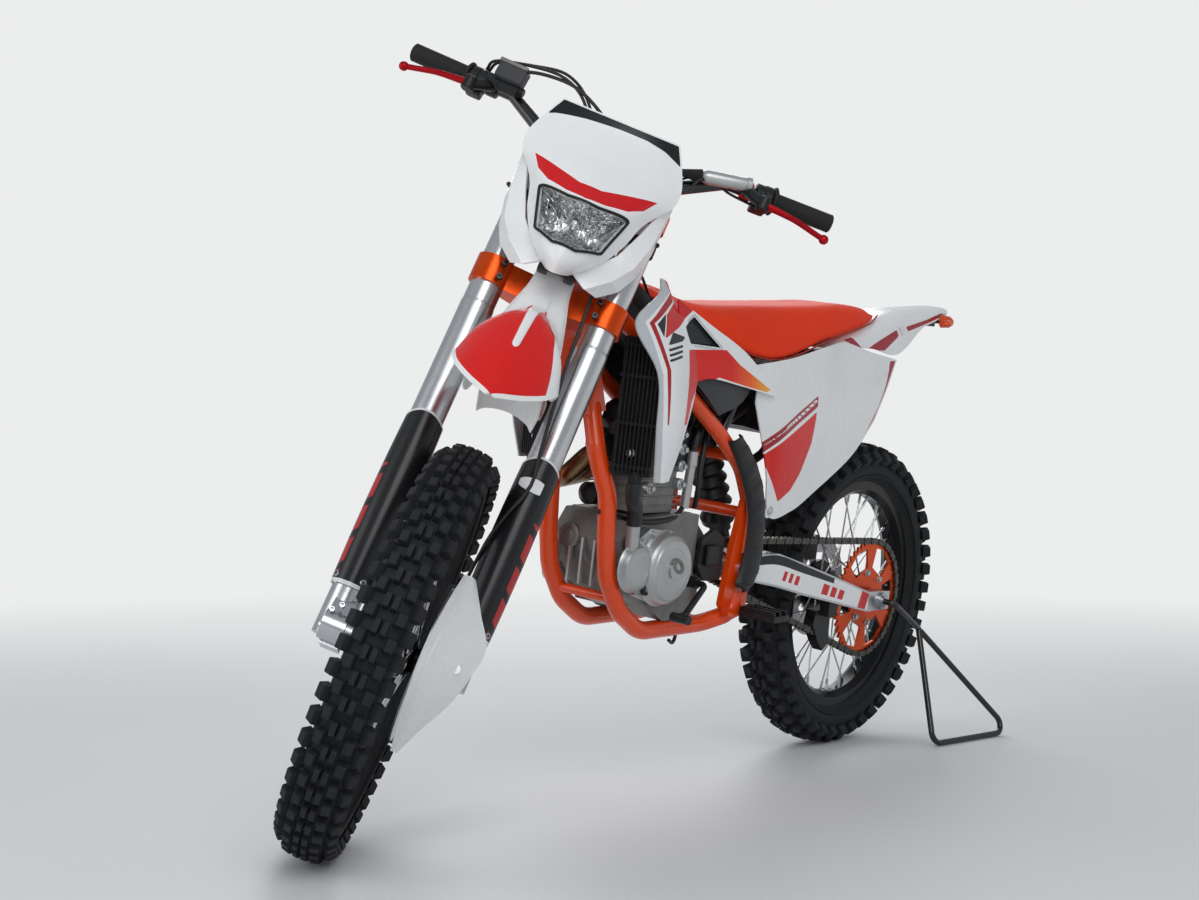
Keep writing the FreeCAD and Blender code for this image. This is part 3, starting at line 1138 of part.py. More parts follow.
def build(move):
    """Every node as (name, body, shape), in the bike frame."""
    front_wheel = FORK_FRAME
    rear_wheel = FreeCAD.Placement(V(0, 0, REAR_RADIUS), FreeCAD.Rotation())
    chassis = {
        "main_frame": main_frame(), "subframe": subframe(), "crankcase": crankcase(),
        "ignition_cover": ignition_cover(), "clutch_cover": clutch_cover(), "cylinder": cylinder(),
        "cylinder_head": cylinder_head(), "throttle_body": throttle_body(), "exhaust_pipe": exhaust_pipe(),
        "muffler": muffler(), "radiators": apart(radiator(1), radiator(-1)), "coolant_hose": coolant_hoses(),
        "fuel_tank": fuel_tank(), "seat": seat(), "shrouds": apart(shroud(1), shroud(-1)),
        "side_panels": apart(side_panel(1), side_panel(-1)), "rear_fender": rear_fender(),
        "tail_lamp": tail_lamp(), "rear_indicators": rear_indicators(), "air_box": air_box(),
        "frame_guards": frame_guards(), "sprocket_cover": sprocket_cover(), "footpegs": footpegs(),
        "foot_levers": foot_levers(), "shock_absorber": shock_absorber(), "swing_arm": swing_arm(),
        "pivot_bolt": pivot_bolt(), "chain_guide": chain_guide(), "drive_chain": drive_chain(),
        "rear_caliper": rear_caliper(), "rear_axle": rear_axle(), "prop_stand": prop_stand(move),
    }
    rear = {
        "rear_tyre": tyre(TYRES["rear"]), "rear_rim": rim(TYRES["rear"], WHEELS["rear"]["well"]),
        "rear_hub": hub(WHEELS["rear"]), "rear_sprocket": sprocket(), "rear_disc": brake_disc(REAR_DISC),
    }
    steering = {
        "triple_clamps": triple_clamps(), "fork_tubes": fork_tubes(), "fork_lowers": fork_lowers(),
        "fork_guards": apart(fork_guard(1), fork_guard(-1)), "front_axle": front_axle(),
        "front_caliper": front_caliper(), "disc_guard": disc_guard(), "handlebar": handlebar(), "grips": grips(),
        "hand_controls": hand_controls(), "hand_levers": hand_levers(), "headlight_mask": headlight_mask(),
        "headlight": headlight(), "front_fender": front_fender(),
    }
    front = {
        "front_tyre": tyre(TYRES["front"]), "front_rim": rim(TYRES["front"], WHEELS["front"]["well"]),
        "front_hub": hub(WHEELS["front"]), "front_disc": brake_disc(FRONT_DISC),
    }
    steered_fork = STEERED.multiply(FORK_FRAME)
    nodes = [(n, "chassis", s, FreeCAD.Placement()) for n, s in chassis.items()]
    nodes += [(n, "rear_wheel", s, rear_wheel) for n, s in rear.items()]
    nodes += [(n, "steering", s, steered_fork) for n, s in steering.items()]
    nodes += [(n, "front_wheel", s, STEERED.multiply(front_wheel)) for n, s in front.items()]
    return nodes


def main():
    move = parked()
    placed = []
    for name, body, shape, where in build(move):
        shape = shape.transformed(move.multiply(where).toMatrix(), True)
        placed.append((name, body, shape))
    bounds = FreeCAD.BoundBox()
    for _, _, shape in placed:
        bounds.add(shape.optimalBoundingBox(False, False))
    middle = V(bounds.Center.x, bounds.Center.y, bounds.ZMin)
    to_middle = FreeCAD.Placement(middle * -1, FreeCAD.Rotation())
    os.makedirs("parts", exist_ok=True)
    for name, body, shape in placed:
        shape = shape.transformed(to_middle.toMatrix(), True)
        shape.exportStep("parts/" + name + ".step")
    whole = to_middle.multiply(move)
    steer_point = whole.multVec(STEER_POINT)
    axle = whole.multiply(STEERED)
    facts = {
        "bodies": {}, "steer_pos": list(steer_point), "steer_axis": list(whole.Rotation.multVec(STEER_AXIS)),
        "front_pos": list(axle.multVec(on_fork(0, 0, 0))), "front_axis": list(axle.Rotation.multVec(LEFT)),
        "rear_pos": list(whole.multVec(V(0, 0, REAR_RADIUS))), "rear_axis": list(whole.Rotation.multVec(LEFT)),
        "rear_socket": list(whole.multVec(V(0, -REAR_AXLE_HALF, REAR_RADIUS))),
        "bar_ends": [list(axle.multVec(on_fork(BAR_END.x, s * BAR_END.y, BAR_END.z))) for s in (1, -1)],
        "bar_bends": [list(axle.multVec(on_fork(BAR_BEND.x, s * BAR_BEND.y, BAR_BEND.z))) for s in (1, -1)],
        "openings": [["stand_triangle", "the space between the stand's two legs and its foot"]
                     + [list(p - middle) for p in STAND_OPENING]],
        "middle": list(middle), "size": [bounds.XLength, bounds.YLength, bounds.ZLength], "low": bounds.ZMin,
    }
    for name, body, _ in placed:
        facts["bodies"].setdefault(body, []).append(name)
    print("facts " + json.dumps(facts))


main()
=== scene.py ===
"""The finish of an off-road motorcycle on an axle stand, laid out as an add-on and run as a script.

Shapes are worked out in millimetres on two drawing frames and then put into the shared frame in metres: the
upright bike (X forward from the rear axle, Y to the rider's left, Z up) and the fork (origin at the front
axle, Z up along the steering axis, X forward, Y left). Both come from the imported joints.
"""

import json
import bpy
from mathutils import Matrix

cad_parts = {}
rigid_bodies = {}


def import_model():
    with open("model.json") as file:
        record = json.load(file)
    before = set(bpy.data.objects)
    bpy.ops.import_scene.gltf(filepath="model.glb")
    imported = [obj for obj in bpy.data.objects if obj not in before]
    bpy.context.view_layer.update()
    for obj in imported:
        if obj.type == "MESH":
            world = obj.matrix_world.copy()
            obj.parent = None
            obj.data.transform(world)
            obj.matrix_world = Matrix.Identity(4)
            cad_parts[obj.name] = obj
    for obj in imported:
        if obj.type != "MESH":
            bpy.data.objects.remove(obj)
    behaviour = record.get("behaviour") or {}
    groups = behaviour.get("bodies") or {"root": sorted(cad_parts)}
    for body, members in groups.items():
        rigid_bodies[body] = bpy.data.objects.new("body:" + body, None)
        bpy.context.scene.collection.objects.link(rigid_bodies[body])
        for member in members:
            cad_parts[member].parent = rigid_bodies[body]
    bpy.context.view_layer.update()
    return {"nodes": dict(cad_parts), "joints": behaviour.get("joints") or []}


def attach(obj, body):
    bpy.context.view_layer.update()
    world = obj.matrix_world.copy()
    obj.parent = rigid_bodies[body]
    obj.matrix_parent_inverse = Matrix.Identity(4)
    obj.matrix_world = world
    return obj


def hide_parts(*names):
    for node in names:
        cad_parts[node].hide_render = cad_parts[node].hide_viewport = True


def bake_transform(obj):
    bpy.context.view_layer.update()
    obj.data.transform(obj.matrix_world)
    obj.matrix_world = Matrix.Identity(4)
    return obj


bl_info = {
    "name": "Off-road motorcycle finish",
    "version": (1, 0, 0),
    "blender": (4, 5, 0),
    "location": "3D View > Sidebar > Motorcycle",
    "description": "Adds the tyres, plastics, seat, engine trim and finishes of an off-road motorcycle",
    "category": "Add Mesh",
}

from math import acos, atan2, cos, pi, radians, sin, sqrt

import bmesh
import bpy
import numpy as np
from bpy.props import FloatProperty, FloatVectorProperty, PointerProperty
from mathutils import Matrix

for left_over in list(bpy.data.objects):
    bpy.data.objects.remove(left_over)
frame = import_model()

# Drawing frames

MM = 0.001
RAKE = radians(26.5)
REAR_RADIUS = 338.0
JOINTS = {joint["name"]: joint for joint in frame["joints"]}


def unit(vectors):
    """Vectors scaled to length one, along the last axis."""
    vectors = np.asarray(vectors, float)
    return vectors / np.linalg.norm(vectors, axis=-1, keepdims=True)


def bike_frame():
    """Turn and origin of the upright bike: the rear axle gives Y, and the rake splits the rest."""
    across = unit(JOINTS["rear_wheel_spin"]["axis"])
    steer = unit(JOINTS["steering"]["axis"])
    ahead = np.cross(across, steer)
    forward = unit(cos(RAKE) * ahead - sin(RAKE) * steer)
    up = np.cross(forward, across)
    origin = np.array(JOINTS["rear_wheel_spin"]["pos_m"]) - up * REAR_RADIUS * MM
    return np.column_stack((forward, across, up)), origin


def fork_frame():
    """Turn and origin of the steered fork: the steering axis gives Z and the front axle Y."""
    across = unit(JOINTS["front_wheel_spin"]["axis"])
    up = unit(JOINTS["steering"]["axis"])
    return np.column_stack((np.cross(across, up), across, up)), np.array(JOINTS["front_wheel_spin"]["pos_m"])


def moved(place, offset):
    """The same drawing frame with its origin at a point of the first, in millimetres."""
    turn, origin = place
    return turn, origin + turn @ np.asarray(offset, float) * MM


BIKE = bike_frame()
FORK = fork_frame()
REAR_WHEEL = moved(BIKE, (0, 0, REAR_RADIUS))
# The homes of pieces: a drawing frame and the body that it rides on
CHASSIS, STEERED = (BIKE, "chassis"), (FORK, "steering")
FRONT_SPUN, REAR_SPUN = (FORK, "front_wheel"), (REAR_WHEEL, "rear_wheel")
SIDES = ((1, "left"), (-1, "right"))


def put(points, place):
    """Points in a drawing frame's millimetres, in the shared frame's metres."""
    turn, origin = place
    return np.asarray(points, float).reshape(-1, 3) @ turn.T * MM + origin


# Surfaces: functions of two parameters on a grid

def cells(rows, columns, round_rows=False, round_columns=False, first=0):
    """The quads of a grid of points, counted row by row, closed round either way where asked."""
    i, j = np.meshgrid(np.arange(rows - (not round_rows)), np.arange(columns - (not round_columns)),
                       indexing="ij")
    i2, j2 = (i + 1) % rows, (j + 1) % columns
    quads = np.stack((i * columns + j, i2 * columns + j, i2 * columns + j2, i * columns + j2), -1)
    return quads.reshape(-1, 4) + first


def through(table, per=8, closed=False):
    """A smooth curve through the rows of a table: between two rows, each number follows the cubic that leaves
    and arrives with half the step between that row's neighbours (Catmull-Rom)."""
    table = np.asarray(table, float)
    if closed:
        padded = np.concatenate((table[-1:], table, table[:2]))
    else:
        padded = np.concatenate((2 * table[:1] - table[1:2], table, 2 * table[-1:] - table[-2:-1]))
    spans = len(padded) - 3
    t = np.arange(spans * per + (not closed)) / per
    i = np.minimum(t.astype(int), spans - 1)
    f = (t - i).reshape((-1,) + (1,) * (table.ndim - 1))
    a, b, c, d = padded[i], padded[i + 1], padded[i + 2], padded[i + 3]
    return 0.5 * (2 * b + (c - a) * f + (2 * a - 5 * b + 4 * c - d) * f ** 2
                  + (3 * b - a - 3 * c + d) * f ** 3)


def round_by(count):
    """The turns of a ring's points: even steps of a full circle."""
    return np.arange(count) * 2 * pi / count


def swept(path, radius, sides=14, squash=1.0):
    """A ring carried along a path: radius times the cosine and sine of the turn on two directions square
    to it. The first direction is square to the axis that the path follows least, so that the ring never
    twists."""
    path = np.asarray(path, float)
    ahead = unit(np.gradient(path, axis=0))
    _, directions = np.linalg.eigh(ahead.T @ ahead)
    side = unit(np.cross(ahead, directions[:, 0]))
    rise = np.cross(ahead, side)
    turn = round_by(sides)
    reach = np.broadcast_to(np.asarray(radius, float), (len(path),))[:, None, None]
    ring = side[:, None] * np.cos(turn)[:, None] + rise[:, None] * np.sin(turn)[:, None] * squash
    return path[:, None] + ring * reach


def pipe(path, radius, sides=14, squash=1.0):
    """A swept ring with a flat cap at each end, as points and faces."""
    rings = swept(path, radius, sides, squash)
    count = len(rings)
    faces = [cells(count, sides, round_columns=True)[:, ::-1], np.arange(sides)[None],
             (np.arange(sides)[::-1] + (count - 1) * sides)[None]]
    return rings.reshape(-1, 3), faces


def turned(profile, count=64, closed=False):
    """A (distance along Y, radius) outline turned about Y: x is radius times sine, z radius times cosine."""
    profile = np.asarray(profile, float)
    turn = round_by(count)[:, None]
    x, z = profile[:, 1] * np.sin(turn), profile[:, 1] * np.cos(turn)
    points = np.stack((x, np.broadcast_to(profile[:, 0], x.shape), z), -1)
    return points.reshape(-1, 3), [cells(count, len(profile), True, closed)]


def copies(shape, turns, places):
    """One shape set at many places: each copy's points are turned by its own matrix and moved."""
    points, faces = shape
    turns, places = np.asarray(turns, float), np.asarray(places, float)
    every = np.einsum("kij,nj->kni", turns, points) + places[:, None]
    steps = np.arange(len(places))[:, None, None] * len(points)
    groups = [(np.asarray(group)[None] + steps).reshape(-1, np.asarray(group).shape[1]) for group in faces]
    return every.reshape(-1, 3), groups


def facing(axes):
    """Turns that take Z to each of the given directions."""
    ahead = unit(np.atleast_2d(axes))
    spare = np.where(np.abs(ahead[:, 2:]) < 0.9, [[0.0, 0.0, 1.0]], [[1.0, 0.0, 0.0]])
    side = unit(np.cross(spare, ahead))
    return np.stack((side, np.cross(ahead, side), ahead), -1)


def together(*shapes):
    """Several shapes as one set of points and faces."""
    points, faces, first = [], [], 0
    for shape_points, shape_faces in shapes:
        points.append(shape_points)
        faces += [np.asarray(group) + first for group in shape_faces]
        first += len(shape_points)
    return np.concatenate(points), faces


def shifted(shape, offset):
    """A shape moved by an offset."""
    return shape[0] + offset, shape[1]


def flat(grid, *axes):
    """The given coordinates of a grid's points, each as a flat row."""
    return [grid[..., k].ravel() for k in axes]


def hump(share):
    """A hump from 0 over 1 and back to 0 as the share goes from 0 to 1: four times the share times the
    rest."""
    return 4 * share * (1 - share)


def off_lines(points, start, run):
    """Distance from each point to the nearest of some straight runs, each from its start."""
    gap = points[:, None] - start
    share = np.clip((gap * run).sum(-1) / np.maximum((run ** 2).sum(-1), 1e-9), 0, 1)
    return np.linalg.norm(gap - share[..., None] * run, axis=-1).min(1)


def inside_by(points, outline):
    """How far each (a, b) point lies inside a closed outline, in its units, below zero outside it: the least
    distance to any side, with its sign from how many sides a level line from the point crosses."""
    points, start = np.asarray(points, float), np.asarray(outline, float)
    end = np.roll(start, -1, 0)
    run = end - start
    least = off_lines(points, start, run)
    crosses = (start[:, 1] > points[:, None, 1]) != (end[:, 1] > points[:, None, 1])
    rise = np.where(run[:, 1] == 0, 1e-9, run[:, 1])
    meets = start[:, 0] + (points[:, None, 1] - start[:, 1]) * run[:, 0] / rise
    inside = (crosses & (points[:, None, 0] < meets)).sum(1) % 2 == 1
    return np.where(inside, least, -least)


# Pieces

FILLED = 100                 # an opening with more sides than this, such as a tyre's, is meant to be one


def shelled(mesh):
    """Makes closed shells of a mesh: doubled points become one, small openings such as a bolt's foot and a
    turned shape's poles are closed, and the faces of every shell turn outwards."""
    work = bmesh.new()
    work.from_mesh(mesh)
    bmesh.ops.remove_doubles(work, verts=work.verts, dist=0.01 * MM)
    open_edges = [edge for edge in work.edges if edge.is_boundary]
    bmesh.ops.holes_fill(work, edges=open_edges, sides=FILLED)
    bmesh.ops.recalc_face_normals(work, faces=work.faces)
    work.to_mesh(mesh)
    work.free()


def linked(name, data):
    """A new object in the scene's own collection."""
    made = bpy.data.objects.new(name, data)
    bpy.context.scene.collection.objects.link(made)
    return made


# Look slots by finish, for a piece whose call names no other; piece() looks its slot up here and keeps it
# nowhere
SLOTS = {}
for look_slot, looks in {
    "engine_silver": ("cast_silver", "cast_bare"),
    "black_metal": ("cast_black",),
    "red_metal": ("red_anodised",),
    "black_steel": ("enamel_black",),
    "tyre": ("tyre_rubber",),
    "black_plastic": ("moulded_black", "moulded_charcoal", "guard_film"),
    "white_plastic": ("moulded_white", "mask_film", "fender_film", "shroud_film", "panel_film", "tail_film",
                      "arm_print"),
    "black_rubber": ("grip_rubber", "hose_rubber"),
    "dark_steel": ("dark_steel", "chain_steel"),
    "silver_metal": ("zinc_steel", "black_anodised", "spoke_steel"),
    "lamp_glass": ("hard_chrome", "lamp_reflector", "lamp_cover"),
    "seat_cover": ("seat_vinyl", "piping_vinyl"),
}.items():
    SLOTS.update(dict.fromkeys(looks, look_slot))


def piece(name, shape, home, look, replaces=(), smooth=38.0, marks=None, slot=None):
    """A mesh from points and faces in a drawing frame, riding on a body, with its finish. A piece with
    number marks is a sheet, whose faces stay as they are; any other is made of closed shells."""
    points, faces = shape
    place, body = home
    spots = put(points, place).astype(np.float32)
    groups = [np.asarray(group, np.int32) for group in faces if len(group)]
    corners = np.concatenate([group.ravel() for group in groups])
    sizes = np.concatenate([np.full(len(group), group.shape[1], np.int32) for group in groups])
    mesh = bpy.data.meshes.new(name)
    mesh.vertices.add(len(spots))
    mesh.vertices.foreach_set("co", spots.ravel())
    mesh.loops.add(len(corners))
    mesh.loops.foreach_set("vertex_index", corners)
    mesh.polygons.add(len(sizes))
    mesh.polygons.foreach_set("loop_start", np.concatenate(([0], np.cumsum(sizes)[:-1])).astype(np.int32))
    mesh.update(calc_edges=True)
    mesh.validate()
    if marks is None:
        shelled(mesh)
    mesh.shade_smooth()
    mesh.set_sharp_from_angle(angle=radians(smooth))
    for mark, values in (marks or {}).items():
        attribute = mesh.attributes.new(mark, "FLOAT", "POINT")
        attribute.data.foreach_set("value", np.asarray(values, np.float32))
    made = linked(name, mesh)
    mesh.materials.append(finish(look))
    if body:
        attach(made, body)
    slot = slot or SLOTS[look]
    if replaces:
        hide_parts(*([replaces] if isinstance(replaces, str) else replaces))
    return made


SHEET_ANGLE = radians(40.0)  # sharper angles between a sheet's faces are edges, and are rounded


def walled(made, wall, edge=0.8):
    """Gives a sheet its wall behind its face, and rounds the edges of the wall."""
    thick = made.modifiers.new("wall", "SOLIDIFY")
    thick.thickness = wall * MM
    thick.offset = -1
    bevel = made.modifiers.new("edges", "BEVEL")
    bevel.width = edge * MM
    bevel.segments = 2
    bevel.limit_method = "ANGLE"
    bevel.angle_limit = SHEET_ANGLE
    bevel.harden_normals = True


# Finishes

def linear(code):
    """An sRGB hex value as linear red, green and blue, with an alpha of one."""
    values = [int(code[i:i + 2], 16) / 255 for i in (1, 3, 5)]
    return tuple(v / 12.92 if v <= 0.04045 else ((v + 0.055) / 1.055) ** 2.4 for v in values) + (1.0,)


def shade(colour, share):
    """A linear colour from the settings, darkened to a share of itself."""
    return tuple(part * share for part in colour) + (1.0,)


def per_metre(size):
    """The scale of a pattern whose grains measure this many millimetres."""
    return 1000.0 / size


def add(tree, kind, inputs=None, **settings):
    """Adds a node with its settings, and sets or links its inputs."""
    made = tree.nodes.new("ShaderNode" + kind)
    for name, value in settings.items():
        setattr(made, name, value)
    for socket, value in (inputs or {}).items():
        if isinstance(value, bpy.types.NodeSocket):
            tree.links.new(value, made.inputs[socket])
        else:
            made.inputs[socket].default_value = value
    return made


def shader(name, **sockets):
    """A new material, its tree, and the object's own coordinates. The sockets that are the same all over the
    surface are set on its shader."""
    made = bpy.data.materials.new(name)
    made.use_nodes = True
    tree = made.node_tree
    main = tree.nodes["Principled BSDF"]
    for socket, value in sockets.items():
        main.inputs[socket.replace("_", " ")].default_value = value
    return made, tree, add(tree, "TexCoord").outputs["Object"]


def dressed(made, tone=None, gloss=None, relief=None):
    """Links a finish's colour, roughness and relief to its shader, where it has them, and returns the
    material."""
    tree = made.node_tree
    main = tree.nodes["Principled BSDF"]
    for socket, output in (("Base Color", tone), ("Roughness", gloss), ("Normal", relief)):
        if output is not None:
            tree.links.new(output, main.inputs[socket])
    return made


def tone_of(colour):
    """A hex value or a linear colour, as a linear colour."""
    return linear(colour) if isinstance(colour, str) else colour


def grained(tree, spot, size, rough, dent, **noise):
    """Roughness between two values and a relief of a depth in millimetres, both from one fine noise."""
    fine = add(tree, "TexNoise", {"Vector": spot, "Scale": per_metre(size), **noise})
    gloss = add(tree, "MapRange", {"Value": fine.outputs["Fac"], "From Min": 0.3, "From Max": 0.7,
                                   "To Min": rough[0], "To Max": rough[1]})
    relief = add(tree, "Bump", {"Height": fine.outputs["Fac"], "Distance": dent * MM})
    return gloss.outputs["Result"], relief.outputs["Normal"]


def worked(name, light, dark, grain, rough, dent, stretch=(1, 1, 1), patches=60.0, **sockets):
    """A finish whose colour drifts between two tones in patches, and whose roughness and relief follow a
    grain. Grain and patches are in millimetres, rough is a pair, dent the relief's depth in millimetres."""
    made, tree, spot = shader(name, **sockets)
    spread = add(tree, "Mapping", {"Vector": spot, "Scale": stretch}).outputs["Vector"]
    drift = add(tree, "TexNoise", {"Vector": spot, "Scale": per_metre(patches), "Detail": 4.0,
                                   "Roughness": 0.6})
    tone = add(tree, "Mix", {0: drift.outputs["Fac"], 6: tone_of(dark), 7: tone_of(light)}, data_type="RGBA")
    return dressed(made, tone.outputs[2],
                   *grained(tree, spread, grain, rough, dent, Detail=3.0, Roughness=0.55))


def powder_coat():
    """Powder-coated steel tube: a thick gloss film, with the faint orange peel of a sprayed powder."""
    coat = settings().frame_colour
    return worked("powder_coat_orange", shade(coat, 1.0), shade(coat, 0.9), 14.0, (0.22, 0.28), 0.012,
                  Coat_Weight=0.25, Coat_Roughness=0.08)


def moulded_white():
    """Injection-moulded polypropylene: white, glossy, with hardly a grain."""
    plastic = settings().plastic_colour
    return worked("polypropylene_white", shade(plastic, 1.0), shade(plastic, 0.96), 30.0, (0.26, 0.29), 0.006,
                  patches=300.0, Coat_Weight=0.12, Coat_Roughness=0.08)


def amber_lens():
    """Injection-moulded acrylic lens in orange: clear colour with prisms behind a smooth face."""
    made, tree, spot = shader("orange_acrylic_lens", Roughness=0.12, Transmission_Weight=0.35, IOR=1.49,
                              Coat_Weight=0.4)
    prisms = add(tree, "TexVoronoi", {"Vector": spot, "Scale": per_metre(4.0)})
    tone = add(tree, "Mix", {0: prisms.outputs["Distance"], 6: linear("#FF6A10"), 7: linear("#D83C06")},
               data_type="RGBA")
    relief = add(tree, "Bump", {"Height": prisms.outputs["Distance"], "Distance": 0.3 * MM})
    return dressed(made, tone.outputs[2], relief=relief.outputs["Normal"])


def seat_vinyl():
    """Coated gripper vinyl over foam: orange red, with pebbles about 1.6 mm wide, drawn coarse enough to
    show."""
    made, tree, spot = shader("orange_seat_vinyl", Specular_IOR_Level=0.25)
    drift = add(tree, "TexNoise", {"Vector": spot, "Scale": per_metre(160.0), "Detail": 3.0})
    vinyl = settings().seat_colour
    tone = add(tree, "Mix", {0: drift.outputs["Fac"], 6: shade(vinyl, 0.9), 7: shade(vinyl, 1.0)},
               data_type="RGBA")
    pebbles = add(tree, "TexVoronoi", {"Vector": spot, "Scale": per_metre(1.6)})
    gloss = add(tree, "MapRange", {"Value": pebbles.outputs["Distance"], "To Min": 0.5, "To Max": 0.68})
    relief = add(tree, "Bump", {"Height": pebbles.outputs["Distance"], "Distance": 0.08 * MM,
                                "Strength": 0.6})
    return dressed(made, tone.outputs[2], gloss.outputs["Result"], relief.outputs["Normal"])


def lamp_reflector():
    """Vacuum-metallised reflector, pressed in facets that break up the light, each facet painted its own grey
    from dark to near white as painted reflection.
    """
    made, tree, spot = shader("faceted_lamp_reflector", Metallic=1.0, Roughness=0.12)
    stretched = add(tree, "Mapping", {"Vector": spot, "Scale": (1.0, 1.0, 0.45)}).outputs["Vector"]
    facets_and_glints = add(tree, "TexVoronoi", {"Vector": stretched, "Scale": per_metre(9.0), "Randomness": 0.9})
    # Painted reflection: each facet gets its own grey, from dark to near white, as if it caught the light
    # differently
    tone = add(tree, "Mix", {0: facets_and_glints.outputs["Color"], 6: linear("#7C8086"), 7: linear("#F2F4F6")},
               data_type="RGBA")
    relief = add(tree, "Bump", {"Height": facets_and_glints.outputs["Distance"], "Distance": 3.0 * MM})
    return dressed(made, tone.outputs[2], relief=relief.outputs["Normal"])


def lamp_cover():
    """Clear polycarbonate lens."""
    made, tree, spot = shader("clear_polycarbonate", Transmission_Weight=1.0, IOR=1.2, Roughness=0.02)
    haze = add(tree, "TexNoise", {"Vector": spot, "Scale": per_metre(40.0)})
    gloss = add(tree, "MapRange", {"Value": haze.outputs["Fac"], "To Min": 0.0, "To Max": 0.06})
    return dressed(made, gloss=gloss.outputs["Result"])


def stickered(name, layers):
    """Moulded plastic under printed film. Each layer is a mark and a colour, which shows where the mark is
    above zero. A colour may be a second mark with a list of colours, which it runs through as that mark
    goes 0 to 1."""
    made, tree, spot = shader(name, Specular_IOR_Level=0.35, Coat_Weight=0.08, Coat_Roughness=0.08)
    drift = add(tree, "TexNoise", {"Vector": spot, "Scale": per_metre(300.0), "Detail": 2.0})
    plastic = settings().plastic_colour
    tone = add(tree, "Mix", {0: drift.outputs["Fac"], 6: shade(plastic, 0.97), 7: shade(plastic, 1.0)},
               data_type="RGBA").outputs[2]
    for mark, colour in layers:
        reach = add(tree, "Attribute", attribute_name=mark).outputs["Fac"]
        # The edge of a print is sharp: it turns over a fifth of a millimetre
        shows = add(tree, "MapRange", {"Value": reach, "From Min": -0.1, "From Max": 0.1})
        if isinstance(colour, tuple):
            ramp = add(tree, "ValToRGB",
                       {"Fac": add(tree, "Attribute", attribute_name=colour[0]).outputs["Fac"]})
            stops = ramp.color_ramp.elements
            for k, code in enumerate(colour[1]):
                stop = stops[k] if k < 2 else stops.new(1.0)
                stop.position = k / (len(colour[1]) - 1)
                stop.color = linear(code)
            fill = ramp.outputs["Color"]
        else:
            fill = shade(settings().film_colour, 1.0) if colour == "film" else linear(colour)
        tone = add(tree, "Mix", {0: shows.outputs["Result"], 6: tone, 7: fill}, data_type="RGBA").outputs[2]
    return dressed(made, tone, *grained(tree, spot, 30.0, (0.26, 0.29), 0.01, Detail=2.0))


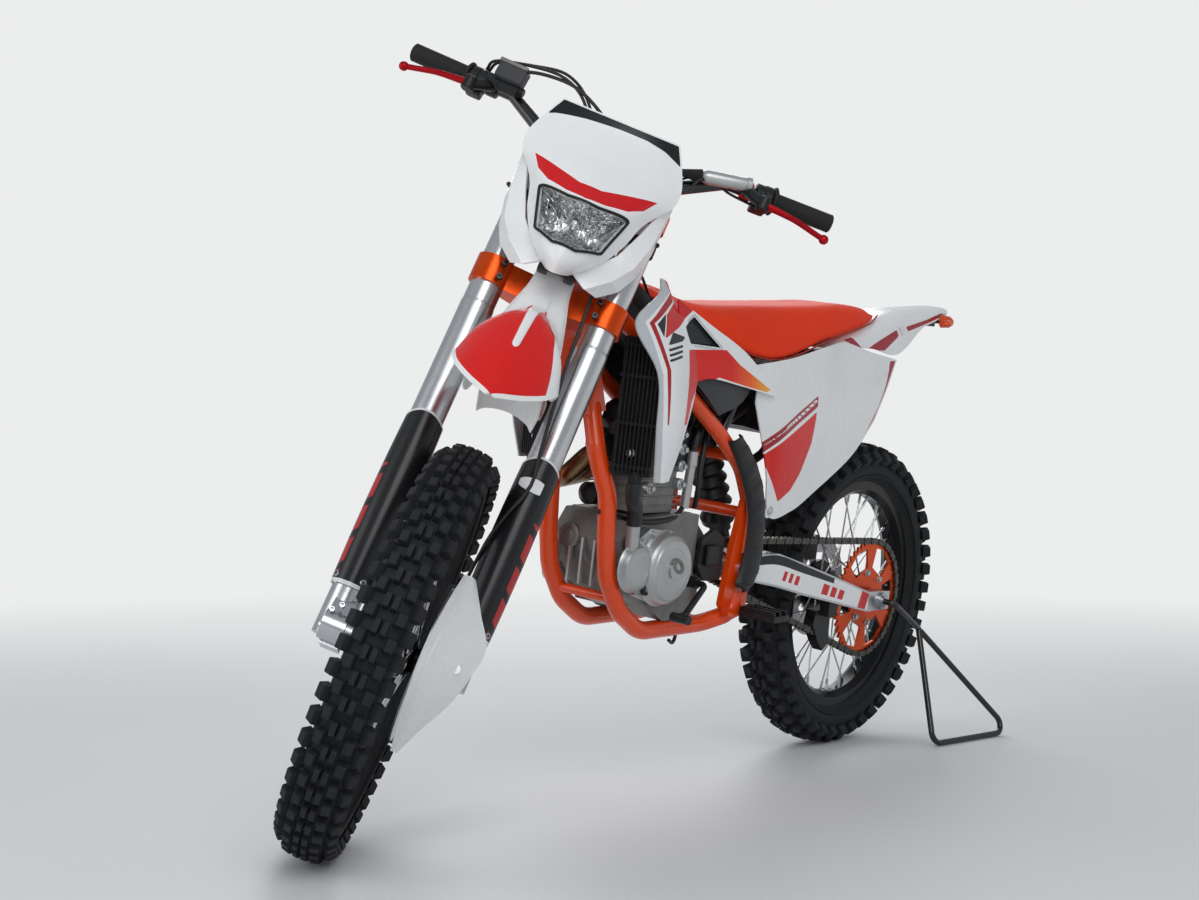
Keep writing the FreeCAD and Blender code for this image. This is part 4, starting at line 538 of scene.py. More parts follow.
# Plain finishes: material name, light and dark tone, grain, roughness, relief, and what else worked() takes.
# The comment over each says what the real one is and what that gives the eye.
PLAIN = {
    # Anodised aluminium, machined from the solid: a metal sheen through a deep orange film with tool marks
    "anodised_orange": ("anodised_aluminium_orange", "#E8591C", "#D2420F", 1.2, (0.24, 0.4), 0.02,
        dict(stretch=(1, 1, 9), Metallic=0.85)),
    # Clear anodised aluminium tube: satin silver with fine lines drawn round it
    "clear_anodised": ("clear_anodised_aluminium", "#D3D4D6", "#BBBDC0", 1.5, (0.2, 0.34), 0.015,
        dict(stretch=(1, 1, 8), Metallic=1.0)),
    # Ground and chromed steel: almost a mirror
    "hard_chrome": ("hard_chromed_steel", "#E6E7E8", "#D6D7D9", 2.0, (0.05, 0.12), 0.004, dict(Metallic=1.0)),
    # Die-cast aluminium under silver paint: satin, with the dimples of the casting
    "cast_silver": ("painted_cast_aluminium", "#C4C5C5", "#AEB0B0", 1.6, (0.3, 0.46), 0.06,
        dict(Metallic=0.75, Coat_Weight=0.15, Coat_Roughness=0.3)),
    # Sand-cast aluminium, bare and a little stained: dull grey with a coarse skin
    "cast_bare": ("sand_cast_aluminium", "#9C9C98", "#6C6D6B", 1.8, (0.45, 0.65), 0.12,
        dict(patches=25.0, Metallic=0.8)),
    # Cast alloy painted satin black
    "cast_black": ("black_painted_alloy", "#1B1C1E", "#101113", 1.5, (0.32, 0.48), 0.05, dict(Metallic=0.25)),
    # Black anodised rolled aluminium, as wheel rims are: dark metal with a clear sheen
    "black_anodised": ("black_anodised_aluminium", "#191A1C", "#0E0F10", 1.2, (0.2, 0.3), 0.01,
        dict(Metallic=0.7)),
    # Black enamelled steel wire and tube
    "enamel_black": ("black_enamelled_steel", "#141416", "#0C0C0D", 5.0, (0.18, 0.3), 0.04,
        dict(Coat_Weight=0.3)),
    # Injection-moulded polypropylene with a fine spark-eroded texture
    "moulded_black": ("black_polypropylene", "#1A1B1D", "#131415", 0.9, (0.42, 0.58), 0.05, dict()),
    # Injection-moulded polypropylene in charcoal, matt
    "moulded_charcoal": ("charcoal_polypropylene", "#3A3B3F", "#303135", 0.9, (0.45, 0.6), 0.05, dict()),
    # Carbon-black tyre rubber: matt and a little dusty between the lugs
    "tyre_rubber": ("tyre_rubber", "#26282B", "#131416", 1.4, (0.62, 0.85), 0.12,
        dict(patches=18.0, Specular_IOR_Level=0.35)),
    # Extruded rubber hose and cable sleeve: smooth dark grey
    "hose_rubber": ("hose_rubber", "#1A1A1C", "#111112", 1.0, (0.38, 0.52), 0.02, dict()),
    # Soft moulded grip rubber, matt
    "grip_rubber": ("grip_rubber", "#1C1C1E", "#141415", 0.8, (0.6, 0.78), 0.06, dict()),
    # Zinc-plated steel fasteners: pale, slightly uneven metal
    "zinc_steel": ("zinc_plated_steel", "#C9CBCD", "#A9ABAE", 1.0, (0.25, 0.4), 0.01,
        dict(patches=8.0, Metallic=1.0)),
    # Ground stainless steel, as brake discs are
    "disc_steel": ("ground_stainless_steel", "#BDBFC2", "#A4A6A9", 0.9, (0.22, 0.36), 0.01,
        dict(Metallic=1.0)),
    # Oiled dark steel of pegs, levers and chain plates
    "dark_steel": ("oiled_dark_steel", "#4A4B4D", "#2B2C2E", 1.2, (0.3, 0.5), 0.03,
        dict(patches=12.0, Metallic=0.9)),
    # Chain plates: rolled steel darkened by oil
    "chain_steel": ("oiled_chain_steel", "#6E6C66", "#3A3937", 1.0, (0.3, 0.5), 0.02,
        dict(patches=9.0, Metallic=0.95)),
    # Stainless header tube, tinted straw and brown by heat
    "header_steel": ("heat_tinted_steel", "#A98862", "#5E4B3D", 2.0, (0.24, 0.4), 0.02,
        dict(patches=70.0, Metallic=1.0)),
    # Brushed aluminium sleeve of the silencer, brushed along its length
    "can_alloy": ("brushed_aluminium", "#C6C7C9", "#B0B2B5", 1.2, (0.24, 0.42), 0.02,
        dict(stretch=(0.06, 1, 1), Metallic=1.0)),
    # Brazed radiator core in matt black
    "radiator_black": ("radiator_black", "#1C1D20", "#101113", 1.0, (0.5, 0.68), 0.05, dict(Metallic=0.2)),
    # Red anodised forged levers
    "red_anodised": ("red_anodised_aluminium", "#C4121F", "#A00D18", 1.5, (0.22, 0.34), 0.015,
        dict(Metallic=0.8)),
    # Drawn stainless spokes and nipples
    "spoke_steel": ("drawn_stainless_wire", "#E2E3E4", "#C9CACC", 1.5, (0.16, 0.28), 0.005,
        dict(Metallic=1.0)),
    # The darker welt that is sewn along the saddle's lower edge
    "piping_vinyl": ("dark_red_piping", "#A8260C", "#8E1E09", 1.2, (0.45, 0.6), 0.03, dict()),
}

# Printed plastics: the marks and colours that stickered() lays over white plastic
FILMS = {
    # Mask plastic under film: white, a black top panel and a red crescent
    "mask_film": [("red", "#D3141A"), ("black", "#15171A")],
    # Mudguard plastic under a red film
    "fender_film": [("red", "film")],
    # Shroud plastic under film: grey rim of painted shade, red fields, a tail from red to yellow, a black
    # window
    "shroud_film": [("rim", "#C3C8CC"), ("chevron", "#B01C26"), ("red", "#CF1E1E"), ("black", "#1B1B1E"),
        ("tail_print", ("tail_share", ["#DE1A14", "#F2601A", "#F3B23A"])), ("window", "#1B1C1F")],
    # Side panel plastic under film: a red field with stripes and a dark red rear edge
    "panel_film": [("red", "film"), ("dark", "#A51C2B")],
    # Tail plastic under red film
    "tail_film": [("red", "#A5142A")],
    # Fork guard plastic in black with a pale rim and red blocks
    "guard_film": [("ground", "#18191C"), ("red", "#B32A2E"), ("rim", "#E3E4E5")],
    # Printed film on the swing arm: white, black and red
    "arm_print": [("red", "#CF1B16"), ("black", "#17181A")],
}

MADE = {"powder_coat": powder_coat, "moulded_white": moulded_white, "amber_lens": amber_lens,
        "seat_vinyl": seat_vinyl, "lamp_reflector": lamp_reflector, "lamp_cover": lamp_cover}
FINISHES = {}


def finish(look):
    """A finish by its name in the tables above, made once and shared by the pieces that have it."""
    if look not in FINISHES:
        if look in PLAIN:
            FINISHES[look] = worked(*PLAIN[look][:-1], **PLAIN[look][-1])
        elif look in FILMS:
            FINISHES[look] = stickered(look, FILMS[look])
        else:
            FINISHES[look] = MADE[look]()
    return FINISHES[look]


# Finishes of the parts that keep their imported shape
NODE_FINISHES = {
    "powder_coat": ("main_frame",),
    "anodised_orange": ("triple_clamps", "rear_sprocket"),
    "clear_anodised": ("fork_tubes", "fork_lowers", "swing_arm"),
    "cast_silver": ("ignition_cover", "clutch_cover"),
    "cast_bare": ("crankcase", "cylinder"),
    "cast_black": ("cylinder_head", "throttle_body", "hand_controls", "front_caliper", "rear_caliper"),
    "black_anodised": ("front_rim", "rear_rim"),
    "enamel_black": ("prop_stand", "subframe", "handlebar"),
    "moulded_black": ("frame_guards", "sprocket_cover", "chain_guide", "air_box", "tail_lamp", "fuel_tank",
                      "fork_guards"),
    "moulded_white": ("disc_guard", "headlight_mask", "front_fender", "shrouds", "side_panels",
                      "rear_fender"),
    "hose_rubber": ("coolant_hose",),
    "grip_rubber": ("grips",),
    "zinc_steel": ("front_axle", "rear_axle", "pivot_bolt"),
    "disc_steel": ("front_disc", "rear_disc"),
    "dark_steel": ("footpegs", "foot_levers", "shock_absorber"),
    "header_steel": ("exhaust_pipe",),
    "can_alloy": ("muffler",),
    "radiator_black": ("radiators",),
    "red_anodised": ("hand_levers",),
    "amber_lens": ("rear_indicators",),
    "spoke_steel": ("front_hub", "rear_hub"),
    "tyre_rubber": ("front_tyre", "rear_tyre"),
    "chain_steel": ("drive_chain",),
    "seat_vinyl": ("seat",),
    "lamp_reflector": ("headlight",),
}


def finish_nodes():
    """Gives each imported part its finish."""
    for look, names in NODE_FINISHES.items():
        for name in names:
            frame["nodes"][name].material_slots[0].material = finish(look)


# Tyres

# Each tyre: lugs in a ring, tip radius, half width, lug height, bead and flange radius, half the rim's width
TYRES = {
    "front": dict(home=FRONT_SPUN, rows=54, tip=350.0, half=46.0, lug=13.0, bead=268.0, flange=279.0,
                  rim_half=20.0),
    "rear": dict(home=REAR_SPUN, rows=44, tip=338.0, half=55.0, lug=15.0, bead=242.0,
                 flange=254.0, rim_half=27.0),
}


def lug_block(length, width, height, sink=5.0):
    """A tread lug: four sides that lean in to a top with its edges cut back, on a foot that is sunk."""
    long, wide = length / 2, width / 2
    corners = np.array([(-1, -1), (1, -1), (1, 1), (-1, 1)], float)
    levels = [(1.12, -sink), (0.98, height - 1.6), (0.86, height)]
    points = np.concatenate([np.column_stack((corners * (long, wide) * scale, np.full(4, z)))
                             for scale, z in levels])
    return points, [cells(3, 4, round_columns=True)[:, ::-1], np.array([[8, 9, 10, 11]])]


def tread_turns(count, offset, tilt):
    """Turns and outward directions for a ring of lugs: the lug's Z leans from the radius by the tilt."""
    turn = (np.arange(count) + offset) * 2 * pi / count
    out = np.stack((np.sin(turn), np.zeros(count), np.cos(turn)), -1)
    ahead = np.stack((np.cos(turn), np.zeros(count), -np.sin(turn)), -1)
    across = np.array([0.0, 1.0, 0.0])
    z = out * cos(tilt) + across * sin(tilt)
    y = across * cos(tilt) - out * sin(tilt)
    return np.stack((ahead, y, z), -1), out


def tyre(which):
    """A knobbly tyre: a carcass turned from a smooth section through bead, flank and crown, with rings of
    lugs whose feet lie on it, the lugs between crown and flank half a step on from the rest."""
    spec = TYRES[which]
    half, tip, lug = spec["half"], spec["tip"], spec["lug"]
    base = tip - lug
    side = half - 0.6 * lug
    edge = spec["rim_half"] - 2.0
    section = np.array([(edge, spec["bead"] + 1), (edge + 3.0, spec["flange"] + 2.5),
                        (side - 1.5, spec["flange"] + 18), (side, base - 0.62 * half),
                        (0.8 * side, base - 0.2 * half), (0.4 * side, base - 0.04 * half), (0.0, base)])
    outline = through(np.concatenate((section, section[-2::-1] * (-1, 1))), 5)
    shapes = [turned(outline, 180, closed=True)]
    # Raised rings low on each flank
    for sign in (1, -1):
        ring_y, ring_r = sign * (side - 0.8), spec["flange"] + 14
        ring = [(ring_y + sign * 0.2, ring_r - 2.2), (ring_y + sign * 1.6, ring_r - 1.2),
                (ring_y + sign * 1.9, ring_r + 1.2), (ring_y + sign * 0.6, ring_r + 2.4)]
        shapes.append(turned(ring, 120, closed=True))
    # Lug rings: columns are distance from the middle, radius of the foot, lean, length, width, height, step
    rings = [(0.135 * half, base - 1, 3, 22, 0.2 * half, lug + 0.7, 0.0),
             (0.45 * half, base - 0.05 * half, 14, 20, 0.3 * half, lug + 0.2, 0.5),
             (0.84 * half, base - 0.3 * half, 48, 23, 0.36 * half, 0.86 * lug, 0.0)]
    for away, radius, lean, length, width, height, step in rings:
        for sign in (1, -1):
            turns, out = tread_turns(spec["rows"], step, sign * radians(lean))
            places = out * radius + np.array([0.0, sign * away, 0.0])
            shapes.append(copies(lug_block(length, width, height), turns, places))
    return piece(which + "_knobbly_tyre", together(*shapes), spec["home"], "tyre_rubber", which + "_tyre",
                 smooth=32)


# Wheels

# Each wheel: spokes, hub flange offset and radius, rim well radius, radius of the seats, ends of the hub
WHEELS = {
    "front": dict(spokes=36, flange_y=31.0, flange_r=34.0, well=250.0, seat_r=50.0, ends=(-52.0, 53.0)),
    "rear": dict(spokes=36, flange_y=31.0, flange_r=44.0, well=224.0, seat_r=62.0, ends=(-60.0, 65.4)),
}


def hub_barrel(which):
    """The hub turned from its section: a waisted barrel, two spoke flanges and a seat at each end."""
    wheel, spec = WHEELS[which], TYRES[which]
    y, r = wheel["flange_y"], wheel["flange_r"]
    right, left = wheel["ends"]
    barrel = 0.62 * r
    half = [(0.0, barrel - 2), (y - 10, barrel), (y - 6, barrel + 4), (y - 4.5, r), (y + 4.5, r),
            (y + 6, barrel + 4), (y + 9, barrel)]

    def out_to(end, seat):
        return half + [(end - 7, barrel), (end - 6, seat - 1), (end - 5, seat), (end - 1, seat),
                       (end, seat - 1), (end, 12.6)]

    seat_right = wheel["seat_r"] if which == "rear" else barrel + 2
    right_half = [(-a, b) for a, b in out_to(-right, seat_right)[1:]]
    outline = np.array(right_half[::-1] + out_to(left, wheel["seat_r"]))
    return piece(which + "_hub_barrel", turned(outline, 72), spec["home"], "black_anodised", which + "_hub",
                 smooth=30)


def spokes(which):
    """Crossed wire spokes from the hub's flanges to the rim, each with its nipple."""
    wheel, spec = WHEELS[which], TYRES[which]
    k = np.arange(wheel["spokes"])
    side = np.where(k % 2 == 0, 1.0, -1.0)
    lead = np.where(k % 4 < 2, 1.0, -1.0)
    rim_turn = 2 * pi * k / wheel["spokes"]
    hub_turn = rim_turn + lead * radians(62)
    hub_r, rim_r = wheel["flange_r"] - 3.0, wheel["well"] + 1.0
    start = np.stack((hub_r * np.cos(hub_turn), side * (wheel["flange_y"] + lead * 2.6),
                      hub_r * np.sin(hub_turn)), -1)
    end = np.stack((rim_r * np.cos(rim_turn), side * np.where(lead > 0, 6.0, 1.4), rim_r * np.sin(rim_turn)),
                   -1)
    run = end - start
    length = np.linalg.norm(run, axis=1)
    turns = facing(run)
    wire = pipe(np.array([(0, 0, -4.0), (0, 0, length.mean())]), settings().spoke_radius / MM, 10)
    nipple = pipe(np.array([(0, 0, -24.0), (0, 0, -22.0), (0, 0, -6.0), (0, 0, 1.0)]), [2.4, 3.3, 3.3, 3.6],
                  8)
    shape = together(copies(wire, turns, start), copies(nipple, turns, end))
    return piece(which + "_spokes", shape, spec["home"], "spoke_steel", smooth=40)


# Chain

CHAIN_PITCH = 15.875
CHAIN_LINE = 68.0
REAR_TEETH = 50
FRONT_TEETH = 13
COUNTERSHAFT = np.array([655.0, 462.0])
LINKS = 112


def chain_pins():
    """Pin places in side view. The loop's length is walked in equal steps: the top run, the lap round the
    small sprocket, the bottom run, then the lap round the big one."""
    big = CHAIN_PITCH / (2 * sin(pi / REAR_TEETH))
    small = CHAIN_PITCH / (2 * sin(pi / FRONT_TEETH))
    rear = np.array([0.0, REAR_RADIUS])
    gap = COUNTERSHAFT - rear
    span, line = np.hypot(*gap), atan2(gap[1], gap[0])
    lap = acos((big - small) / span)
    run = sqrt(span ** 2 - (big - small) ** 2)
    lengths = np.array([run, 2 * lap * small, run, 2 * (pi - lap) * big])
    ends = np.cumsum(lengths)
    s = np.arange(LINKS) * ends[-1] / LINKS
    stage = np.searchsorted(ends, s, side="right")
    into = s - np.concatenate(([0.0], ends))[stage]
    turn = np.choose(stage, [line + lap + 0 * s, line + lap - into / small, line - lap + 0 * s,
                             line - lap - into / big])
    out = np.stack((np.cos(turn), np.sin(turn)), -1)
    share = (into / run)[:, None]
    top = rear + big * out + share * (gap + (small - big) * out)
    bottom = COUNTERSHAFT + small * out + share * ((big - small) * out - gap)
    laps = np.where((stage == 1)[:, None], COUNTERSHAFT + small * out, rear + big * out)
    return np.where((stage == 0)[:, None], top, np.where((stage == 2)[:, None], bottom, laps))


def link_plate(thick):
    """A waisted plate over two pins: two round ends joined by a narrower middle, in the plane of X and Z."""
    turn = np.linspace(-1.9, 1.9, 9)
    radius, half = 6.9, CHAIN_PITCH / 2
    front = np.stack((half + radius * np.cos(turn), radius * np.sin(turn)), -1)
    waist = np.array([(0.0, 4.6)])
    ring = np.concatenate((front, waist, -front, -waist))
    count = len(ring)
    points = np.concatenate([np.column_stack((ring[:, 0], np.full(count, y), ring[:, 1]))
                             for y in (0.0, thick)])
    return points, [cells(2, count, round_columns=True), np.arange(count)[None],
                    np.arange(count)[None, ::-1] + count]


def drive_chain():
    """A roller chain: pairs of plates over every link, the outer ones outside the inner ones, with rollers
    and riveted pins."""
    here = chain_pins()
    there = np.roll(here, -1, 0)
    middle = (here + there) / 2
    ahead = unit(there - here)
    zero = np.zeros(LINKS)
    turns = np.stack((np.stack((ahead[:, 0], zero, ahead[:, 1]), -1),
                      np.broadcast_to([0.0, 1.0, 0.0], (LINKS, 3)),
                      np.stack((-ahead[:, 1], zero, ahead[:, 0]), -1)), -1)
    shapes = []
    # Plate sets: columns are links taken, and the near side of the plate from the chain's middle
    for first, near in ((0, 6.0), (1, 3.9)):
        for side in (near, -near - 1.9):
            places = np.column_stack((middle[first::2, 0], np.full(LINKS // 2, CHAIN_LINE + side),
                                      middle[first::2, 1]))
            shapes.append(copies(link_plate(1.9), turns[first::2], places))
    roller = turned([(-3.2, 0.1), (-3.2, 5.0), (3.2, 5.0), (3.2, 0.1)], 12)
    pin = turned([(-8.6, 0.1), (-8.6, 2.2), (-8.2, 2.7), (8.2, 2.7), (8.6, 2.2), (8.6, 0.1)], 10)
    places = np.column_stack((here[:, 0], np.full(LINKS, CHAIN_LINE), here[:, 1]))
    level = np.broadcast_to(np.eye(3), (LINKS, 3, 3))
    shapes += [copies(roller, level, places), copies(pin, level, places)]
    return piece("roller_chain", together(*shapes), CHASSIS, "chain_steel", "drive_chain", smooth=35)


# Sheets of plastic

def patch(table, down=10, across=10):
    """A smooth sheet through a table of points, rows by columns: the same cubic between rows, then
    columns."""
    grid = through(np.asarray(table, float), down)
    return through(grid.swapaxes(0, 1), across).swapaxes(0, 1)


def sheet(name, grid, home, look, replaces=(), wall=3.0, outwards=(1, 0, 0), marks=None, cut=None):
    """A sheet on a grid of points, its face turned outwards and a wall behind it. cut leaves out the cells
    whose corners all have a mark above zero."""
    rows, columns = grid.shape[:2]
    points = grid.reshape(-1, 3)
    faces = cells(rows, columns)
    corner = points[faces]
    lean = np.cross(corner[:, 2] - corner[:, 0], corner[:, 3] - corner[:, 1])
    if (lean.sum(0) * np.asarray(outwards, float)).sum() < 0:
        faces = faces[:, ::-1]
    if cut is not None:
        faces = faces[~(np.asarray(cut)[faces] > 0).all(1)]
    used = np.unique(faces)
    fresh = np.full(len(points), -1)
    fresh[used] = np.arange(len(used))
    marks = {mark: np.asarray(values)[used] for mark, values in (marks or {}).items()}
    made = piece(name, (points[used], [fresh[faces]]), home, look, replaces, 40.0, marks)
    walled(made, wall)


def stripe(points, line, width):
    """How far points lie inside a stripe of a width about a broken line, in the line's own plane."""
    line = np.asarray(line, float)
    return width / 2 - off_lines(np.asarray(points, float), line[:-1], np.diff(line, axis=0))


def creased(table, down=10, across=10):
    """A sheet with sharp folds: straight lines between the points of a table, along rows and columns."""
    grid = np.asarray(table, float)
    for steps in (down, across):
        places = np.linspace(0, len(grid) - 1, (len(grid) - 1) * steps + 1)
        low = np.minimum(places.astype(int), len(grid) - 2)
        share = (places - low)[:, None, None]
        grid = (grid[low] * (1 - share) + grid[low + 1] * share).swapaxes(0, 1)
    return grid


# Headlight mask, in the fork's frame

# columns: height of the edge, half width, forward place at the middle and at the edge
MASK_ROWS = [
    (984, 108, 62, 44), (950, 124, 66, 44), (905, 141, 80, 44), (872, 139, 97, 45), (840, 117, 110, 47),
    (812, 101, 118, 48), (765, 86, 124, 50), (715, 58, 122, 52), (680, 22, 106, 60)
]
MASK_HANG = 0.48             # the middle hangs below its edges by this share of how far it stands out
LAMP_OUTLINE = [(-80, 803), (-26, 790), (26, 790), (80, 803), (58, 727), (20, 704), (-20, 704), (-58, 727)]
# What is printed on it: the lower edge of the black panel, and the crescent over the lamp, as (y, z)
MASK_BLACK = [(-128, 944), (-108, 950), (-55, 956), (0, 959), (55, 961), (90, 957), (128, 944)]
MASK_RED = [
    (-112, 860), (-66, 842), (-20, 825), (20, 825), (66, 842), (112, 860), (96, 834), (72, 815), (34, 802),
    (0, 798), (-34, 802), (-72, 815), (-96, 834)
]
MASK_WING = [
    [(40, 132, 880), (20, 138, 882), (4, 138, 878)],
    [(42, 106, 806), (26, 131, 800), (6, 135, 790)],
    [(46, 84, 752), (44, 118, 742), (14, 124, 736)],
    [(52, 52, 712), (58, 92, 700), (24, 108, 700)],
    [(62, 24, 690), (62, 56, 668), (34, 78, 672)]
]


def mask_grid(down=24, across=26):
    """The shield: each row bows forward from its edges to its middle, and hangs as it does so."""
    rows = []
    for z, w, mid, edge in MASK_ROWS:
        half = [(0, mid), (0.36 * w, 0.14 * edge + 0.86 * mid), (0.7 * w, 0.45 * edge + 0.55 * mid),
                (w, edge)]
        half = [(x, y, z - MASK_HANG * (x - edge)) for y, x in half]
        rows.append([(x, -y, h) for x, y, h in reversed(half) if y > 0] + half)
    return patch(rows, down, across)


def lamp_outline(grow=0.0, per=10):
    """The lamp's outline with its corners softened, grown outwards by a distance, as (y, z)."""
    corners = np.array(LAMP_OUTLINE, float)
    soft = []
    for before, here, after in zip(np.roll(corners, 1, 0), corners, np.roll(corners, -1, 0)):
        soft += [here + (before - here) * 9 / np.linalg.norm(before - here),
                 here * 0.94 + (before + after) * 0.03,
                 here + (after - here) * 9 / np.linalg.norm(after - here)]
    ring = through(soft, per, closed=True)
    ahead = unit(np.roll(ring, -1, 0) - np.roll(ring, 1, 0))
    return ring + np.stack((-ahead[:, 1], ahead[:, 0]), -1) * grow


def on_mask(yz, grid):
    """Forward place of the shield at (y, z) points: the mean of the four nearest points of its grid."""
    points = grid.reshape(-1, 3)
    found = []
    for block in np.array_split(np.asarray(yz, float), max(1, len(yz) // 64)):
        gap = ((points[None, :, 1:] - block[:, None]) ** 2).sum(-1)
        near = np.argpartition(gap, 4, axis=1)[:, :4]
        weight = 1 / (np.take_along_axis(gap, near, 1) + 0.05)
        found.append((points[near, 0] * weight).sum(1) / weight.sum(1))
    return np.concatenate(found)


def mask_shield():
    """The shield with its lamp opening, a black panel along the top, and a red crescent over the lamp."""
    grid = mask_grid()
    y, z = flat(grid, 1, 2)
    rim = inside_by(np.stack((y, z), -1),
                    np.concatenate((grid[0, :, 1:], grid[:, -1, 1:], grid[::-1, 0, 1:])))
    black = np.minimum(z - np.interp(y, *zip(*MASK_BLACK)), rim - 3.0)
    red = inside_by(np.stack((y, z), -1), MASK_RED)
    hole = inside_by(np.stack((y, z), -1), lamp_outline(0.0, 4))
    sheet("headlight_shield", grid, STEERED, "mask_film", "headlight_mask", 4.0, (1, 0, 0),
          {"black": black, "red": red}, cut=hole - 1.0)


def mask_wings():
    """A folded wing down each side of the lamp, on the collars that clip round the fork tubes."""
    for side, name in SIDES:
        grid = creased(MASK_WING, 14, 12) * (1, side, 1)
        sheet("mask_wing_" + name, grid, STEERED, "moulded_white", "headlight_mask", 4.0, (1, side, 0))
        band = turned([(-9, 29.0), (-9, 32.5), (9, 32.5), (9, 29.0)], 48, closed=True)
        up = band[0][:, [0, 2, 1]] * (1, -1, 1)
        strap = (up + (LEG[0], side * LEG[1], 812.0), band[1])
        piece("mask_strap_" + name, strap, STEERED, "grip_rubber", "headlight_mask", 30)
        tab = pipe(through([(-12, side * 127, 814), (-2, side * 134, 813), (10, side * 138, 812)], 6), 4.0,
                   12)
        piece("mask_tab_" + name, tab, STEERED, "grip_rubber", "headlight_mask", 40)


def mask_clip():
    """The dark bracket that holds the mask's chin to the lower clamp."""
    shapes = [rounded_block((34, 0, 694), (10, 26, 8), 0.4)]
    shapes += [rounded_block((30, side * 24, 690), (9, 9, 11), 0.4) for side, _ in SIDES]
    piece("mask_bracket", together(*shapes), STEERED, "moulded_charcoal", "headlight_mask", 60)


def headlight():
    """The lamp: a reflector pressed in facets, a bulb with its cap, a domed lens and a dark gasket round
    it."""
    grid = mask_grid(12, 14)
    ring = lamp_outline(0.0)
    face = on_mask(ring, grid)
    middle = ring.mean(0)
    t = np.linspace(0.0, 1.0, 26)[1:, None]

    def spread(share, depth):
        yz = middle + share[..., None] * (ring - middle)
        return np.stack((face * share + face.mean() * (1 - share) + depth, yz[..., 0], yz[..., 1]), -1)

    flutes = 1.5 * np.abs(np.sin(pi * (spread(t, 0)[..., 1]) / 11.0)) * (1 - t ** 4)
    bowl = spread(t, -4 - 30 * (1 - t ** 2) + flutes)
    count = len(ring)
    closed = [cells(len(t), count, round_columns=True), np.arange(count)[None, ::-1]]
    piece("lamp_reflector", (bowl.reshape(-1, 3), closed), STEERED, "lamp_reflector", "headlight", 60)
    lens = spread(t, 2.0 + 9 * (1 - t ** 2))
    glass = piece("lamp_lens", (lens.reshape(-1, 3), closed), STEERED, "lamp_cover", "headlight", 60, {})
    walled(glass, 1.6, 0.3)
    gasket = np.column_stack((face + 1.4, lamp_outline(1.2)))
    rings = swept(np.concatenate((gasket, gasket[:2])), 2.6, 10)[1:-1]
    piece("lamp_gasket", (rings.reshape(-1, 3), [cells(len(rings), 10, True, True)[:, ::-1]]), STEERED,
          "grip_rubber", "headlight", 60)
    x, y, z = face.mean() - 20, middle[0], middle[1]
    bulb = pipe([(x - 14, y, z), (x, y, z), (x + 12, y, z), (x + 17, y, z), (x + 18, y, z)],
                [9.0, 9.0, 8.5, 5.0, 1.0], 20)
    piece("lamp_bulb", bulb, STEERED, "hard_chrome", "headlight", 35)


# Front mudguard, in the fork's frame

# columns: middle (x, z), edge (x, y, z); from the root that climbs in front of the clamp to the nose
FENDER_NOSE = [
    ((14, 697), (4, 34, 692)), ((28, 655), (13, 38, 656)), ((42, 624), (24, 50, 610)),
    ((58, 604), (38, 64, 548)), ((84, 596), (58, 74, 486)), ((115, 583), (92, 82, 458)),
    ((150, 560), (146, 91, 455)), ((196, 492), (186, 78, 428)), ((230, 432), (222, 46, 402)),
    ((255, 384), (254, 8, 381))
]
# columns: x, height of the middle, half width, height of the edge; from the tail forwards
FENDER_TAIL = [
    (-232, 506, 54, 486), (-150, 566, 64, 520), (-70, 604, 69, 470), (0, 611, 69, 450), (60, 596, 68, 452)
]
# Outline of the red field, as (x, y) from above
FENDER_RED = [
    (48, -16), (96, -52), (134, -85), (168, -125), (290, -125), (290, 110), (237, 110), (160, 56), (104, 34),
    (50, 14)
]
FENDER_RIM = 8.0              # white rim in front of the red field, along the surface


def across_fender(middle, edge):
    """One section of the mudguard: it drops slowly from its middle and steeply near its edge."""
    (xm, zm), (xe, w, ze) = middle, edge
    half = [(xm, 0, zm), (0.85 * xm + 0.15 * xe, 0.45 * w, 0.85 * zm + 0.15 * ze),
            (0.5 * (xm + xe), 0.8 * w, 0.5 * (zm + ze)), (xe, w, ze)]
    return [(x, -y, z) for x, y, z in half[:0:-1]] + half


def front_fender():
    """The front mudguard: a nose with a red printed face and a raised rib, and a tail between the fork
    legs."""
    grid = patch([across_fender(middle, edge) for middle, edge in FENDER_NOSE], 24, 18)
    x, y = flat(grid, 0, 1)
    spots = np.stack((x, y), -1)
    step = np.linalg.norm(np.diff(grid, axis=1), axis=2)
    run = np.concatenate((np.zeros((len(grid), 1)), np.cumsum(step, 1)), 1)
    from_edge = np.minimum(run, run[:, -1:] - run).ravel()
    along_rib = np.clip((x - 60) / 137, 0, 1)
    rib = (12 - 6 * along_rib) - np.hypot(y, np.maximum(x - 195, 0))
    rib = np.where(x > 36, rib, -5)
    rise = 4.0 * np.clip(rib / 5 + 0.5, 0, 1)
    grid = grid + (rise[:, None] * (0.75, 0.0, 0.65)).reshape(grid.shape)
    red = np.minimum(np.minimum(inside_by(spots, FENDER_RED), from_edge - FENDER_RIM), -rib)
    sheet("front_fender_nose", grid, STEERED, "fender_film", "front_fender", 3.0, (1, 0, 1), {"red": red})
    tail = patch([across_fender((x0, z0), (x0, w, ze)) for x0, z0, w, ze in FENDER_TAIL], 14, 14)
    sheet("front_fender_tail", tail, STEERED, "moulded_white", "front_fender", 3.0, (0, 0, 1))


# Radiator shrouds, on the bike's frame

